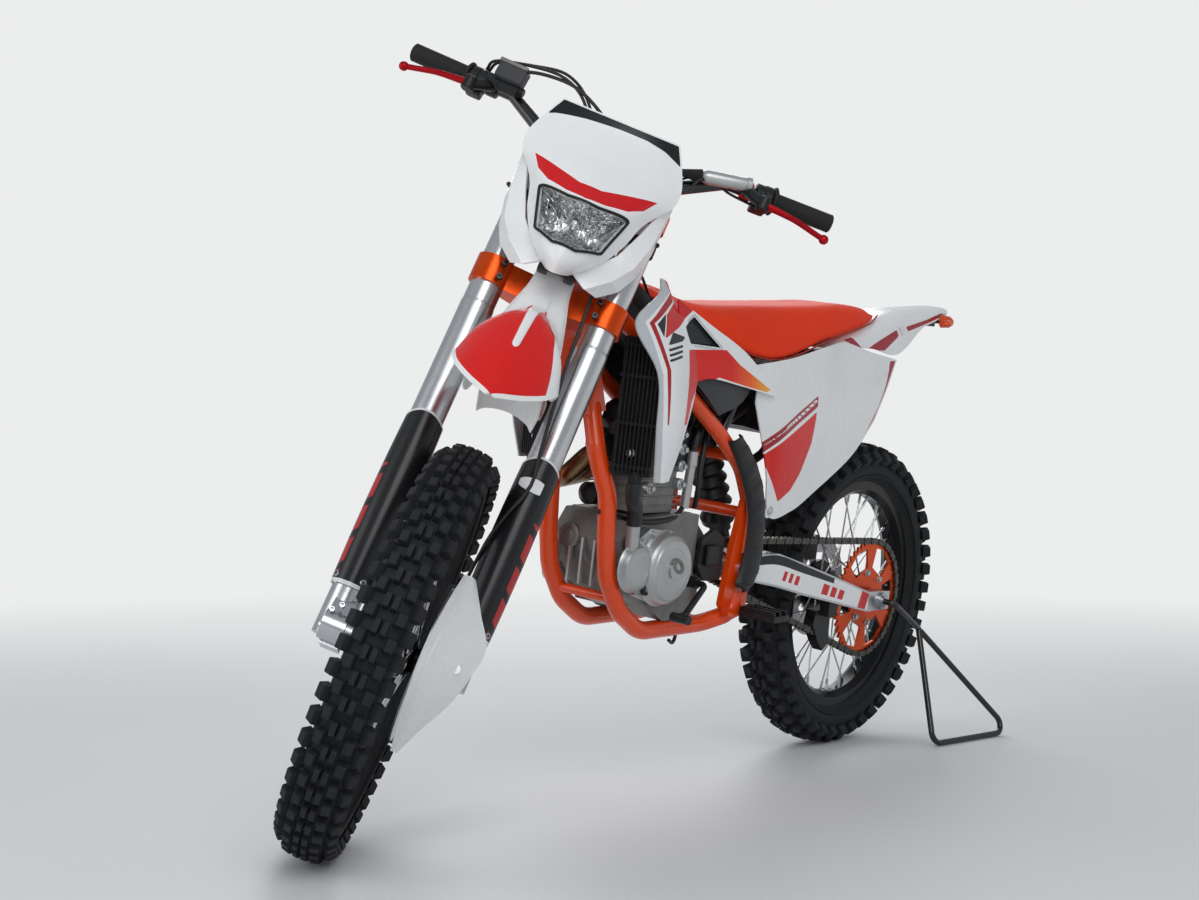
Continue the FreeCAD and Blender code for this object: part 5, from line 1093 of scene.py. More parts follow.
# Columns run from the front edge to the rear edge, each (x, y, z)
SHROUD_BLADE = [
    [(954, 106, 983), (932, 104, 976), (905, 98, 950)],
    [(976, 121, 954), (940, 118, 945), (892, 112, 930)],
    [(1056, 138, 901), (990, 144, 900), (880, 128, 900)],
    [(1003, 160, 816), (952, 165, 814), (850, 136, 815)],
    [(998, 167, 718), (948, 170, 714), (895, 154, 712)],
    [(976, 158, 627), (955, 161, 626), (933, 158, 628)]
]
SHROUD_WING = [
    [(912, 118, 950), (902, 129, 880), (872, 138, 800)],
    [(800, 120, 908), (800, 131, 866), (806, 137, 812)],
    [(690, 131, 862), (690, 137, 832), (700, 140, 800)],
    [(590, 142, 796), (590, 143, 790), (590, 143, 784)]
]
SHROUD_WINDOW = [(896, 902), (859, 921), (777, 869), (880, 873)]
TANK_WING = [
    [(872, 118, 826), (800, 121, 846), (700, 121, 836), (640, 119, 802)],
    [(818, 124, 792), (770, 128, 800), (700, 126, 800), (652, 121, 786)],
    [(742, 119, 744), (720, 121, 750), (692, 121, 758), (668, 119, 768)]
]
# What is printed on a shroud, as (x, z) in side view
SHROUD_FIELD = [(950, 990), (880, 965), (862, 933), (924, 900), (983, 879), (963, 920), (918, 943)]
SHROUD_CHEVRON = [
    (919, 964), (1023, 904), (984, 826), (974, 730), (970, 730), (974, 826), (1009, 904), (924, 944)
]
SHROUD_TRIANGLE = [(1001, 903), (965, 922), (986, 881)]
SHROUD_WEDGE = [(951, 891), (902, 884), (916, 876), (976, 868)]
SHROUD_BARS = [((974, 860), (918, 868)), ((974, 851), (921, 859)), ((974, 842), (925, 850))]
# A broken line on the blade: ahead of it the front edge is painted pale grey, as painted shade on the thick
# edge
SHROUD_SHADE_LINE = [(925, 964), (1033, 905), (992, 817), (985, 718), (962, 627)]
WING_FIELD = [
    (889, 862), (759, 866), (715, 840), (611, 797), (623, 792), (692, 801), (782, 815), (857, 789),
    (876, 769), (891, 729), (906, 729), (902, 783)
]
WING_FLAME = (745.0, 615.0)


def shroud_marks(x, z, edge):
    """What is printed on a shroud, by side view: red fields and a chevron, black bars, a flame tail, and a
    pale grey rim of painted shade ahead of a broken line, whose distance is measured along x, or round a
    wing's window."""
    spots = np.stack((x, z), -1)
    window = inside_by(spots, SHROUD_WINDOW)
    bars = np.maximum.reduce([stripe(spots, bar, 4.6) for bar in SHROUD_BARS])
    line = np.array(sorted(SHROUD_SHADE_LINE, key=lambda spot: spot[1]), float)
    ahead = x - np.interp(z, line[:, 1], line[:, 0])
    wing = inside_by(spots, WING_FIELD)
    black = np.maximum.reduce([inside_by(spots, SHROUD_TRIANGLE), inside_by(spots, SHROUD_WEDGE), bars])
    share = np.clip((WING_FLAME[0] - x) / (WING_FLAME[0] - WING_FLAME[1]), 0, 1)
    # The rim is painted shade in pale grey: ahead of the line on a blade, and in a band round the window on a
    # wing
    return {"window": window, "rim": ahead if edge else -np.abs(window + 3.4) + 2.0,
            "red": inside_by(spots, SHROUD_FIELD), "chevron": inside_by(spots, SHROUD_CHEVRON), "black": black,
            "tail_print": wing, "tail_share": share}



def shrouds():
    """The radiator shrouds: an upright blade ahead of the radiator's edge and a pointed wing behind it."""
    for side, name in SIDES:
        blade = patch(SHROUD_BLADE, 44, 36) * (1, side, 1)
        wing = patch(SHROUD_WING, 40, 30) * (1, side, 1)
        for part, grid in (("blade", blade), ("wing", wing)):
            x, z = flat(grid, 0, 2)
            marks = shroud_marks(x, z, part == "blade")
            sunk = np.clip(marks["window"] / 3, 0, 1) * 7
            grid = grid - (sunk[:, None] * (0, side, 0)).reshape(grid.shape)
            sheet("shroud_%s_%s" % (part, name), grid, CHASSIS, "shroud_film", "shrouds",
                  settings().plastic_wall / MM, (0, side, 0), marks)
        lower = patch(TANK_WING, 12, 12) * (1, side, 1)
        sheet("tank_wing_" + name, lower, CHASSIS, "moulded_charcoal", (), 3.0, (0, side, 0))


# Side panels and tail

# Columns run from the seat's edge down to the lower edge
SIDE_PANEL = [
    [(12, 77, 868), (50, 83, 804), (94, 86, 734)],
    [(150, 86, 882), (160, 100, 790), (188, 94, 659)],
    [(275, 97, 897), (290, 112, 760), (336, 104, 589)],
    [(380, 118, 886), (388, 126, 740), (428, 110, 552)],
    [(500, 126, 862), (508, 132, 710), (514, 112, 544)],
    [(575, 128, 851), (572, 134, 760), (560, 122, 640)],
    [(644, 127, 842), (640, 131, 800), (636, 129, 770)]
]
# The right panel ends above the silencer
RIGHT_PANEL = [
    [(150, 86, 882), (152, 86, 880), (154, 86, 878)],
    [(275, 97, 897), (277, 101, 882), (279, 103, 864)],
    [(380, 118, 886), (382, 121, 850), (384, 122, 810)],
    [(500, 126, 862), (503, 130, 812), (506, 132, 766)],
    [(575, 128, 851), (574, 132, 796), (572, 133, 748)],
    [(644, 127, 842), (642, 130, 806), (640, 130, 772)]
]
PANEL_TAB = (514.0, 556.0)


def side_panels():
    """The number plate panels under the seat, the left one with its printed field and its lower tab."""
    left = patch(SIDE_PANEL, 30, 44)
    x, z = flat(left, 0, 2)
    panel_wall = settings().plastic_wall / MM
    sheet("side_panel_left", left, CHASSIS, "panel_film", "side_panels", panel_wall, (0, 1, 0),
          panel_marks(x, z))
    right = patch(RIGHT_PANEL, 24, 16) * (1, -1, 1)
    sheet("side_panel_right", right, CHASSIS, "moulded_white", "side_panels", panel_wall, (0, -1, 0))
    tab = turned([(106.5, 0.1), (106.5, 16), (110.2, 16), (111.0, 15), (111.0, 0.1)], 40)
    piece("side_panel_tab", shifted(tab, (PANEL_TAB[0], 0.0, PANEL_TAB[1])), CHASSIS, "moulded_white",
          "side_panels", 35)


# What is printed on the left panel, as (x, z) in side view
PANEL_FIELD = [(588, 664), (406, 756), (407, 691), (428, 630), (453, 595), (493, 573), (545, 627), (574, 655)]
PANEL_BAND = [(598, 690), (482, 752), (407, 788), (404, 766), (477, 731), (588, 669)]
PANEL_LINES = [[(582, 688), (477, 741), (410, 776)], [(520, 724), (477, 746), (412, 780)]]
PANEL_REAR = [
    (19, 866), (35, 841), (58, 802), (100, 737), (144, 698), (174, 670), (127, 715), (85, 766), (61, 813),
    (51, 843), (47, 864)
]


def panel_marks(x, z):
    """What is printed on the left panel: a red field, a darker band over it with pale lines, and a rear
    edge."""
    spots = np.stack((x, z), -1)
    band = inside_by(spots, PANEL_BAND)
    lines = np.maximum.reduce([stripe(spots, line, 2.6) for line in PANEL_LINES])
    band = np.minimum(band, -lines)
    return {"red": inside_by(spots, PANEL_FIELD), "dark": np.maximum(band, inside_by(spots, PANEL_REAR))}


# columns: x, then (y, z) of the section from its middle to its edge
TAIL_ROWS = [
    (330, [(0, 889), (60, 887), (86, 878), (92, 868)]), (250, [(0, 912), (56, 910), (80, 900), (88, 884)]),
    (128, [(0, 938), (50, 938), (70, 924), (78, 888)]), (0, [(0, 968), (44, 966), (66, 950), (71, 880)]),
    (-112, [(0, 981), (38, 979), (58, 966), (62, 940)]), (-180, [(0, 988), (32, 986), (50, 978), (54, 958)]),
    (-262, [(0, 994), (26, 993), (40, 988), (42, 978)])
]


def rear_fender():
    """The rear mudguard and tail, arched from side to side and drawn out to a thin tip."""
    rows = [[(x, -y, z) for y, z in reversed(half) if y > 0] + [(x, y, z) for y, z in half]
            for x, half in TAIL_ROWS]
    grid = patch(rows, 26, 22)
    x, y, z = flat(grid, 0, 1, 2)
    sheet("rear_mudguard", grid, CHASSIS, "tail_film", "rear_fender", settings().plastic_wall / MM, (0, 0, 1),
          tail_marks(x, y, z))


# What is printed on each side of the tail, as (x, z) in side view
TAIL_FIELDS = [
    [(158, 884), (16, 933), (4, 919), (65, 886)],
    [(255, 901), (219, 908), (172, 884), (205, 888)],
    [(-27, 941), (-136, 962), (-216, 979), (-255, 979), (-41, 932)]
]
TAIL_SLASHES = [[(9, 938), (-8, 921)], [(1, 940), (-16, 923)], [(-11, 942), (-27, 925)]]


def tail_marks(x, y, z):
    """What is printed on the tail: a red field, a sliver ahead of it, three slashes and a stripe to the
    tip."""
    spots = np.stack((x, z), -1)
    fields = [inside_by(spots, field) for field in TAIL_FIELDS]
    fields += [stripe(spots, line, 2.6) for line in TAIL_SLASHES]
    return {"red": np.minimum(np.maximum.reduce(fields), np.abs(y) - 30)}


# Seat

# columns: x, half width and height of the lower edge, half width and height of the shoulder
SEAT_ROWS = [
    (964.6, 34, 976, 24, 992), (900, 70, 936, 44, 974), (770, 96, 888, 60, 944), (575, 120, 851, 72, 950),
    (360, 108, 897, 77, 963), (245, 94, 920, 74, 971), (150, 76, 938, 60, 970), (66, 44, 957, 34, 963)
]
SEAT_SHRINK = 2.0            # the foam starts this much smaller, and its cover swells back
SEAT_VOXEL = 6.0             # size of the even faces that the cover is made of
SEAT_PRESSURE, SEAT_FRAMES, SEAT_QUALITY = 4.0, 20, 4


def seat_section(row):
    """One section of the seat as a closed ring: flat crown, rounded shoulders, sides that lean out, flat
    base."""
    x, w0, z0, w1, z1 = row
    half = [(0.5 * w0, z0 + 2), (w0, z0), (0.5 * (w0 + w1) + 3, 0.35 * z0 + 0.65 * z1), (w1, z1 - 5),
            (0.5 * w1, z1)]
    return [(x, y, z) for y, z in half] + [(x, -y, z) for y, z in reversed(half)]


def swollen(rough, most):
    """Foam under a stretched cover: a piece is remeshed, blown up a little as cloth, and no point
    moves further than the given distance."""
    vinyl = rough.data.materials[0]
    remesh = rough.modifiers.new("even", "REMESH")
    remesh.mode = "VOXEL"
    remesh.voxel_size = SEAT_VOXEL * MM
    graph = bpy.context.evaluated_depsgraph_get()
    even = bpy.data.meshes.new_from_object(rough.evaluated_get(graph))
    rough.modifiers.clear()
    rough.data = even
    count = len(even.vertices)
    rest = np.empty(count * 3, np.float32)
    even.vertices.foreach_get("co", rest)
    cover = rough.modifiers.new("cover", "CLOTH")
    cover.settings.use_pressure = True
    cover.settings.uniform_pressure_force = SEAT_PRESSURE
    cover.settings.quality = SEAT_QUALITY
    cover.settings.effector_weights.gravity = 0.0
    scene = bpy.context.scene
    for step in range(1, SEAT_FRAMES + 1):
        scene.frame_set(step)
    moved_to = np.empty(count * 3, np.float32)
    rough.evaluated_get(bpy.context.evaluated_depsgraph_get()).data.vertices.foreach_get("co", moved_to)
    rough.modifiers.clear()
    scene.frame_set(1)
    shift = (moved_to - rest).reshape(-1, 3)
    reach = np.linalg.norm(shift, axis=1, keepdims=True)
    shift *= np.minimum(1, most * MM / np.maximum(reach, 1e-9))
    even.vertices.foreach_set("co", (rest.reshape(-1, 3) + shift).ravel())
    even.shade_smooth()
    if not even.materials:
        even.materials.append(vinyl)
    smooth = rough.modifiers.new("smooth", "SUBSURF")
    smooth.levels = smooth.render_levels = 1
    return rough


def seat():
    """The saddle: foam under a stretched vinyl cover, with piping along its lower edge."""
    rings = through([seat_section(row) for row in SEAT_ROWS], 12)
    rings = through(rings.swapaxes(0, 1), 6, closed=True).swapaxes(0, 1)
    count, around = rings.shape[:2]
    middle = rings.mean(1, keepdims=True)
    gap = rings - middle
    rings = middle + gap * (1 - SEAT_SHRINK / np.linalg.norm(gap, axis=2, keepdims=True))
    faces = [cells(count, around, round_columns=True), np.arange(around)[None, ::-1],
             np.arange(around)[None] + (count - 1) * around]
    rough = piece("saddle", (rings.reshape(-1, 3), faces), CHASSIS, "seat_vinyl", "seat", 60)
    pad = swollen(rough, settings().seat_rise / MM)
    for side, name in SIDES:
        line = through([(x, side * (w0 + 0.5), z0 + 2) for x, w0, z0, _, _ in SEAT_ROWS], 12)
        piece("saddle_piping_" + name, pipe(line, 1.8, 8), CHASSIS, "piping_vinyl", "seat", 60)


# Fork guards and disc guard, in the fork's frame

LEG = (-33.0, 105.0)
GUARD_RADIUS = 33.2
GUARD_SPAN = (70.0, 392.0)
GUARD_TURN = radians(112)
DISC_GUARD = [
    (150, (52, 62), (58, 70), (44, 82)), (100, (95, 58), (100, 72), (56, 112)),
    (55, (125, 56), (128, 75), (40, 140)), (0, (140, 54), (142, 74), (58, 135)),
    (-50, (133, 56), (135, 74), (62, 122)), (-100, (104, 60), (106, 72), (66, 98)),
    (-150, (64, 66), (66, 70), (58, 76))
]


def fork_guards():
    """A trough round the front of each slider with a rounded top, a pale rim and slanted red blocks."""
    low, high = GUARD_SPAN
    turn, share = np.meshgrid(np.linspace(-GUARD_TURN, GUARD_TURN, 72), np.linspace(0, 1, 130))
    aside = GUARD_RADIUS * np.sin(turn)
    top = high - 46 + np.sqrt(46.0 ** 2 - aside ** 2)
    z = low + share * (top - low)
    flare = GUARD_RADIUS + 2.6 * hump(share) * np.abs(np.sin(turn)) ** 3
    for side, name in SIDES:
        grid = np.stack((LEG[0] + flare * np.cos(turn), side * (LEG[1] + flare * np.sin(turn)), z), -1)
        arc = GUARD_RADIUS * (GUARD_TURN - np.abs(turn))
        rim = 4.2 - np.minimum(np.minimum(arc, top - z), (z - low) * 0.6)
        outer = np.minimum(turn - radians(48), radians(98) - turn) * GUARD_RADIUS
        slant = (z + 0.9 * aside) % 58 - 14
        blocks = np.minimum(np.minimum(outer, np.minimum(slant, 44 - slant)), np.minimum(z - 84, 285 - z))
        sheet("fork_guard_" + name, grid, STEERED, "guard_film", "fork_guards", 2.6, (1, 0, 0),
              {"ground": np.ones(z.size), "rim": rim.ravel(), "red": blocks.ravel()})


def disc_guard():
    """The shield ahead of the brake disc and the left lug."""
    rows = [[(*inner, z), (*crest, z), ((crest[0] + outer[0]) / 2 + 6, (crest[1] + outer[1]) / 2, z),
             (*outer, z)] for z, inner, crest, outer in DISC_GUARD]
    grid = patch(rows, 14, 14)
    sheet("disc_shield", grid, STEERED, "moulded_white", "disc_guard", 3.0, (1, 0.4, 0))
    boss = pipe([(25.3, 110, 0), (96, 110, 0)], 8.0, 20)
    piece("disc_shield_boss", boss, STEERED, "zinc_steel", "disc_guard", 40)


# Swing arm film, on the bike's frame

PIVOT = (575.0, 440.0)
# columns: x, lower and upper edge over the line from axle to pivot, outer side
ARM_SIDE = [
    (505, -21, 34, 89), (430, -20, 48, 96), (330, -24.5, 39.5, 103), (190, -27.7, 26.3, 107),
    (60, -30.6, 13.4, 108)
]
# Red blocks of the film: front and rear end, and the shares of the height between which each lies
ARM_BLOCKS = [
    (96, 62, 0.0, 1.0), (190, 168, 0.16, 0.62), (222, 200, 0.16, 0.62), (258, 232, 0.16, 0.62),
    (366, 352, 0.2, 0.55), (388, 376, 0.2, 0.55), (410, 398, 0.2, 0.55)
]


def arm_line(x):
    """Height of the straight line from the rear axle to the arm's pivot."""
    return REAR_RADIUS + (PIVOT[1] - REAR_RADIUS) * x / PIVOT[0]


def arm_film():
    """Printed film on the flat of each arm: white, with a black upper band and slanted red blocks."""
    for side, name in SIDES:
        rows = [[(x, side * (y + 0.7), arm_line(x) + low + 4 + (high - low - 8) * t) for t in (0.0, 0.5, 1.0)]
                for x, low, high, y in ARM_SIDE]
        grid = patch(np.array(rows), 60, 16)
        x, z = flat(grid, 0, 2)
        share = np.tile(np.linspace(0, 1, grid.shape[1]), grid.shape[0])
        width = np.interp(x, [60, 190, 330, 430, 505], [36, 46, 56, 60, 47])
        black = np.minimum((share - 0.70) * width + 0.02 * (x - 380), x - 215)
        slant = x + 0.35 * (z - arm_line(x))
        red = np.full(len(x), -9.0)
        for start, end, low, high in ARM_BLOCKS:
            block = np.minimum(start - slant, slant - end)
            red = np.maximum(red, np.minimum(block, np.minimum(share - low, high - share) * width))
        sheet("arm_film_" + name, grid, CHASSIS, "arm_print", (), 0.5, (0, side, 0),
              {"black": black, "red": red})


# Frame guards and engine case ribs, on the bike's frame

# columns: rear edge (x, z) and front edge (x, z) of the guard, from its top to its foot
FRAME_GUARD = [
    ((655, 708), (690, 692)), ((622, 684), (660, 660)), ((586, 650), (628, 618)), ((556, 608), (604, 580)),
    ((538, 562), (590, 545)), ((530, 510), (586, 505)), ((530, 460), (590, 462)), ((540, 424), (598, 432)),
    ((556, 404), (606, 416)), ((578, 396), (600, 408))
]


def frame_guards():
    """The black guards over the frame at the rider's boots: bowed strips with raised edges and a row of
    ribs."""
    for side, name in SIDES:
        rows = []
        for (xa, za), (xb, zb) in FRAME_GUARD:
            rows.append([(xa + (xb - xa) * t, side * (116 + 8 * bow), za + (zb - za) * t)
                         for t, bow in ((0, -0.4), (0.12, 0.6), (0.5, 1.0), (0.88, 0.6), (1, -0.4))])
        grid = patch(rows, 12, 10)
        along_it = np.linspace(0, 1, grid.shape[0])[:, None]
        across_it = np.linspace(-1, 1, grid.shape[1])[None]
        rib = 1.6 * np.clip(np.cos(along_it * 60) * 3, 0, 1) * (np.abs(across_it) < 0.55)
        grid = grid + rib[..., None] * (0, side, 0)
        sheet("frame_guard_" + name, grid, CHASSIS, "moulded_black", "frame_guards", 3.5, (0, side, 0))


def case_ribs():
    """Cast ribs down the front of the crankcase and across its floor, and the round lid of the water pump."""
    shapes = [rounded_block((943, y, 456), (4, 2.6, 44), 0.7, 5) for y in (-64, -36, -8, 20, 48)]
    shapes += [rounded_block((x, 0, 378), (3, 62, 5), 0.7, 5) for x in (700, 760, 820, 880)]
    piece("case_ribs", together(*shapes), CHASSIS, "cast_silver", smooth=50)
    pump = turned([(0, 24), (6, 24), (9, 21), (9, 12), (12, 10), (12, 0.1)], 48)
    ahead = pump[0][:, [1, 0, 2]] * (1, -1, 1), pump[1]
    piece("pump_lid", shifted(ahead, (938, -44, 498)), CHASSIS, "cast_bare", smooth=35)


# Hoses and cables

CABLE_STEPS, CABLE_SIDES = 10, 12


def cable(name, points, radius, home=STEERED, look="hose_rubber"):
    """A hose or cable whose two ends are fixed: a tube along a smooth curve through a few points."""
    return piece(name, pipe(through(points, CABLE_STEPS), radius, CABLE_SIDES), home, look, smooth=50)


BAR_BEND, BAR_END = np.array((-62.0, 205.0, 1000.0)), np.array((-95.0, 405.0, 1020.0))


def on_bar(distance, side=1, lift=(0.0, 0.0, 0.0)):
    """A point of the handlebar's grip run, measured inwards from its end, and moved off it."""
    inward = unit(BAR_BEND - BAR_END)
    return (BAR_END + inward * distance) * (1, side, 1) + np.asarray(lift, float)


def hoses():
    """The front brake hose down the left leg, the throttle cables, the clutch line and the wiring."""
    hose = settings().hose_radius / MM
    top = [on_bar(196, -1, (26, 0, 14)), on_bar(214, -1, (44, 0, 30)), (-8, -150, 1036), (16, -96, 1022),
           (22, -40, 992), (20, 6, 950), (14, 44, 880), (12, 62, 790), (12, 68, 700), (10, 72, 640),
           (6, 76, 560), (2, 84, 480), (1, 92, 410), (3, 100, 360), (4, 101, 338)]
    low = [(4, 101, 338), (8, 96, 312), (6, 84, 280), (-8, 72, 236), (-34, 66, 196), (-66, 62, 168),
           (-88, 58, 150)]
    cable("front_brake_hose_upper", top, hose)
    cable("front_brake_hose_lower", low, hose)
    cable("throttle_cable_a", [on_bar(140, -1, (8, 0, 22)), on_bar(152, -1, (26, 0, 36)), (-26, -196, 1048),
                               (0, -130, 1040), (14, -80, 1008), (4, -46, 955), (-20, -34, 905)], 2.8)
    cable("throttle_cable_b", [on_bar(144, -1, (2, 0, 22)), on_bar(158, -1, (14, 0, 42)), (-40, -190, 1058),
                               (-10, -126, 1052), (2, -74, 1016), (-8, -40, 960), (-28, -26, 905)], 2.8)
    cable("switch_lead", [on_bar(134, 1, (-4, 0, -20)), on_bar(190, 1, (4, 0, -18)), (-40, 160, 985),
                          (-34, 90, 930), (-20, 40, 905), (0, 16, 880)], 2.4)
    on_fork = [on_bar(236, 1, (24, 0, -22)), (-20, 160, 970), (4, 150, 930), (10, 132, 900)]
    line = np.concatenate((put(on_fork, FORK), put([(1004, 74, 1000), (962, 66, 985), (905, 58, 930)], BIKE)))
    turn, origin = BIKE
    clutch = cable("clutch_line", (line - origin) @ turn / MM, 2.6, (BIKE, None))
    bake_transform(clutch)


def guard_clip():
    """The pale clip on the left guard that holds the brake hose."""
    turn = np.linspace(-0.55, 1.0, 24)[:, None]
    up = np.linspace(-1, 1, 10)[None]
    reach = GUARD_RADIUS + 3.4
    width = 12 * np.sqrt(np.clip(1 - ((turn - 0.22) / 0.85) ** 2, 0.05, 1))
    grid = np.stack(np.broadcast_arrays(LEG[0] + reach * np.cos(turn), LEG[1] + reach * np.sin(turn) - 6,
                                        340 + up * width), -1)
    sheet("hose_clip", grid, STEERED, "moulded_white", (), 2.0, (1, 0, 0))


# Handlebar controls

def bar_frame(side):
    """The grip run's own directions: inwards along the bar, forwards, and up."""
    inward = unit((BAR_BEND - BAR_END) * (1, side, 1))
    ahead = unit(np.cross(inward, (0.0, 0.0, 1.0))) * -side
    return inward, ahead, np.cross(ahead, inward) * -side


def grips():
    """Rubber grips turned with ribs along the grip run, with an inner flange and a closed end."""
    for side, name in SIDES:
        steps = np.concatenate(([0.0, 0.0, 2.0], np.arange(4, 108, 2.0), [108, 109, 113, 116, 118, 118]))
        ribs = 16.0 + 0.9 * (np.arange(len(steps)) % 2)
        ribs[:3] = (0.1, 14.0, 16.5)
        ribs[-6:] = (17.0, 20.0, 26.0, 26.0, 24.0, 12.0)
        path = np.array([on_bar(s, side) for s in steps + np.linspace(0, 0.01, len(steps))])
        piece("grip_" + name, pipe(path, ribs, 36), STEERED, "grip_rubber", "grips", 30)


def rounded_block(centre, half, bulge=0.25, count=9, axes=np.eye(3)):
    """A block whose six sides bow out and whose edges are round: each point of a cube is drawn towards a
    ball."""
    t = np.linspace(-1, 1, count)
    a, b = np.meshgrid(t, t, indexing="ij")
    one = np.ones_like(a)
    points, faces, first = [], [], 0
    for axis in range(3):
        for sign in (1, -1):
            sides = [a, b]
            sides.insert(axis, one * sign)
            points.append(np.stack(sides, -1).reshape(-1, 3))
            quads = cells(count, count, first=first)
            faces.append(quads if (sign > 0) == (axis != 1) else quads[:, ::-1])
            first += count * count
    cube = np.concatenate(points)
    power = 6.0
    ball = cube / (np.abs(cube) ** power).sum(1, keepdims=True) ** (1 / power)
    spots = (cube * bulge + ball * (1 - bulge)) * np.asarray(half, float)
    return spots @ axes + np.asarray(centre, float), [np.concatenate(faces)]


def control(name, shape, look="cast_black", smooth=35, slot=None):
    """One of the handlebar's controls."""
    return piece(name, shape, STEERED, look, "hand_controls", smooth, slot=slot)


def hand_controls():
    """The clutch perch and switch on the left; throttle housing and brake master cylinder on the right."""
    for side, name in SIDES:
        housing = pipe([on_bar(s, side) for s in (119, 121, 134, 136, 150, 152)],
                       (20, 23, 23, 21.5, 21.5, 18), 40)
        control("bar_housing_" + name, housing, slot="black_plastic")
        clamp = pipe([on_bar(s, side) for s in (156, 157.5, 174.5, 176)], (16, 18.5, 18.5, 16), 36)
        control("lever_clamp_" + name, clamp, "red_anodised" if side > 0 else "cast_black")
        pivot = on_bar(128, side) + (46, 0, -34)
        arm = through([on_bar(166, side), on_bar(158, side, (24, 0, -12)), pivot], 6)
        control("lever_perch_" + name, pipe(arm, np.linspace(12.5, 9.5, 13), 20), smooth=45)
        post = pipe([pivot + (0, 0, h) for h in (-12, -10, 12, 14)], (10, 12, 12, 10), 28)
        control("lever_pivot_" + name, post)
        switch = rounded_block(on_bar(136, side, (6, 0, -22)), (15, 13, 12), axes=np.stack(bar_frame(side)))
        control("bar_switch_" + name, switch, smooth=60, slot="black_plastic")

    def clutch_axis(steps):
        return [on_bar(s, 1, (24, 0, 2 - 0.2 * (s - 165))) for s in steps]

    barrel = pipe(clutch_axis((160, 162, 170, 172, 240, 245, 250)), (9, 14, 14, 12, 13, 11, 8), 32)
    control("clutch_cylinder", barrel, "cast_silver", slot="silver_metal")
    steps = np.arange(250, 286, 1.5)
    folds = np.linspace(12.0, 6.0, len(steps)) + 0.8 * (np.arange(len(steps)) % 2)
    control("clutch_boot", pipe(clutch_axis(steps), folds, 24), "grip_rubber")
    axes = np.stack(bar_frame(-1))
    body = [on_bar(s, -1, (24, 0, 0)) for s in (150, 152, 176, 178, 214, 217, 224)]
    control("brake_cylinder", pipe(body, (9, 12, 12, 14, 14, 10, 7), 32))
    tank = rounded_block(on_bar(192, -1, (36, 0, 16)), (27, 16, 15), 0.55, axes=axes)
    control("brake_reservoir", tank, "moulded_charcoal", 60)
    lid = rounded_block(on_bar(192, -1, (36, 0, 33)), (28, 17, 3.4), 0.7, axes=axes)
    control("reservoir_lid", lid, "cast_bare", 60, "silver_metal")


def hand_levers():
    """Forged levers: flat blades that sweep out and curl at the tip, with a ball end."""
    for side, name in SIDES:
        pivot = on_bar(128, side) + (46, 0, -34)
        tip = on_bar(4, side) + (42, 0, -52)
        middle = pivot + (tip - pivot) * 0.5 + (6, 0, 2)
        near = pivot + (tip - pivot) * 0.14 + (3, 0, 1)
        line = through([pivot, near, middle, pivot + (tip - pivot) * 0.85 + (1, 0, 1), tip], 10)
        thick = np.interp(np.arange(len(line)), [0, 6, 20, 34, 40], [8.5, 7.8, 6.0, 5.8, 6.4])
        blade = pipe(line, thick, 20, 0.72)
        ball = turned([(-9, 0.1), (-8, 4), (-5, 7.5), (0, 9), (5, 7.5), (8, 4), (9, 0.1)], 24)
        piece("lever_" + name, together(blade, shifted(ball, tip)), STEERED, "red_anodised", "hand_levers",
              50)


# Fasteners

def stacked(levels):
    """An open shell of rings over one another, twelve points each, from (radius, height) pairs."""
    turn = np.arange(12) * pi / 6
    points = np.concatenate([np.stack((r * np.cos(turn), r * np.sin(turn), np.full(12, z)), -1)
                             for r, z in levels])
    return points, [cells(len(levels), 12, round_columns=True)[:, ::-1]]


def cap_bolt(radius, height):
    """A socket cap: a drum with rounded top and a six-sided well."""
    return stacked([(radius, 0.0), (radius, height * 0.82), (radius * 0.9, height), (radius * 0.55, height),
                    (radius * 0.5, height * 0.45), (0.05, height * 0.42)])


def flange_bolt(radius, height):
    """A hexagon head on a round flange."""
    hexagon = radius * (1 - 0.07 * (np.arange(12) % 2))
    return stacked([(radius * 1.35, 0.0), (radius * 1.35, height * 0.2), (radius * 1.05, height * 0.34),
                    (hexagon, height * 0.36), (hexagon, height * 0.92), (radius * 0.82, height),
                    (0.05, height)])


def bolts(name, proto, places, axes, home, look="zinc_steel"):
    """One bolt set at many places, each along its own axis."""
    places = np.atleast_2d(places)
    turns = facing(np.broadcast_to(np.asarray(axes, float), places.shape))
    return piece(name, copies(proto, turns, places), home, look, smooth=35)


def ring_of(radius, count, y, start):
    """Places round the axle in side view, from a turn on."""
    turn = start + round_by(count)
    return np.stack((radius * np.cos(turn), np.full(count, y), radius * np.sin(turn)), -1)


COVER_BOLTS = [
    (790, 94, 412), (848, 94, 402), (900, 94, 418), (930, 94, 447), (932, 94, 480), (905, 94, 508),
    (872, 94, 520), (808, 94, 512), (778, 94, 476), (776, 94, 434)
]
CLUTCH_BOLTS = [
    (702, -104, 432), (762, -104, 384), (862, -104, 392), (915, -104, 436), (920, -104, 484),
    (872, -104, 524), (764, -104, 530), (710, -104, 494)
]
GUARD_BOLT_TURNS = (-0.6, 0.9)


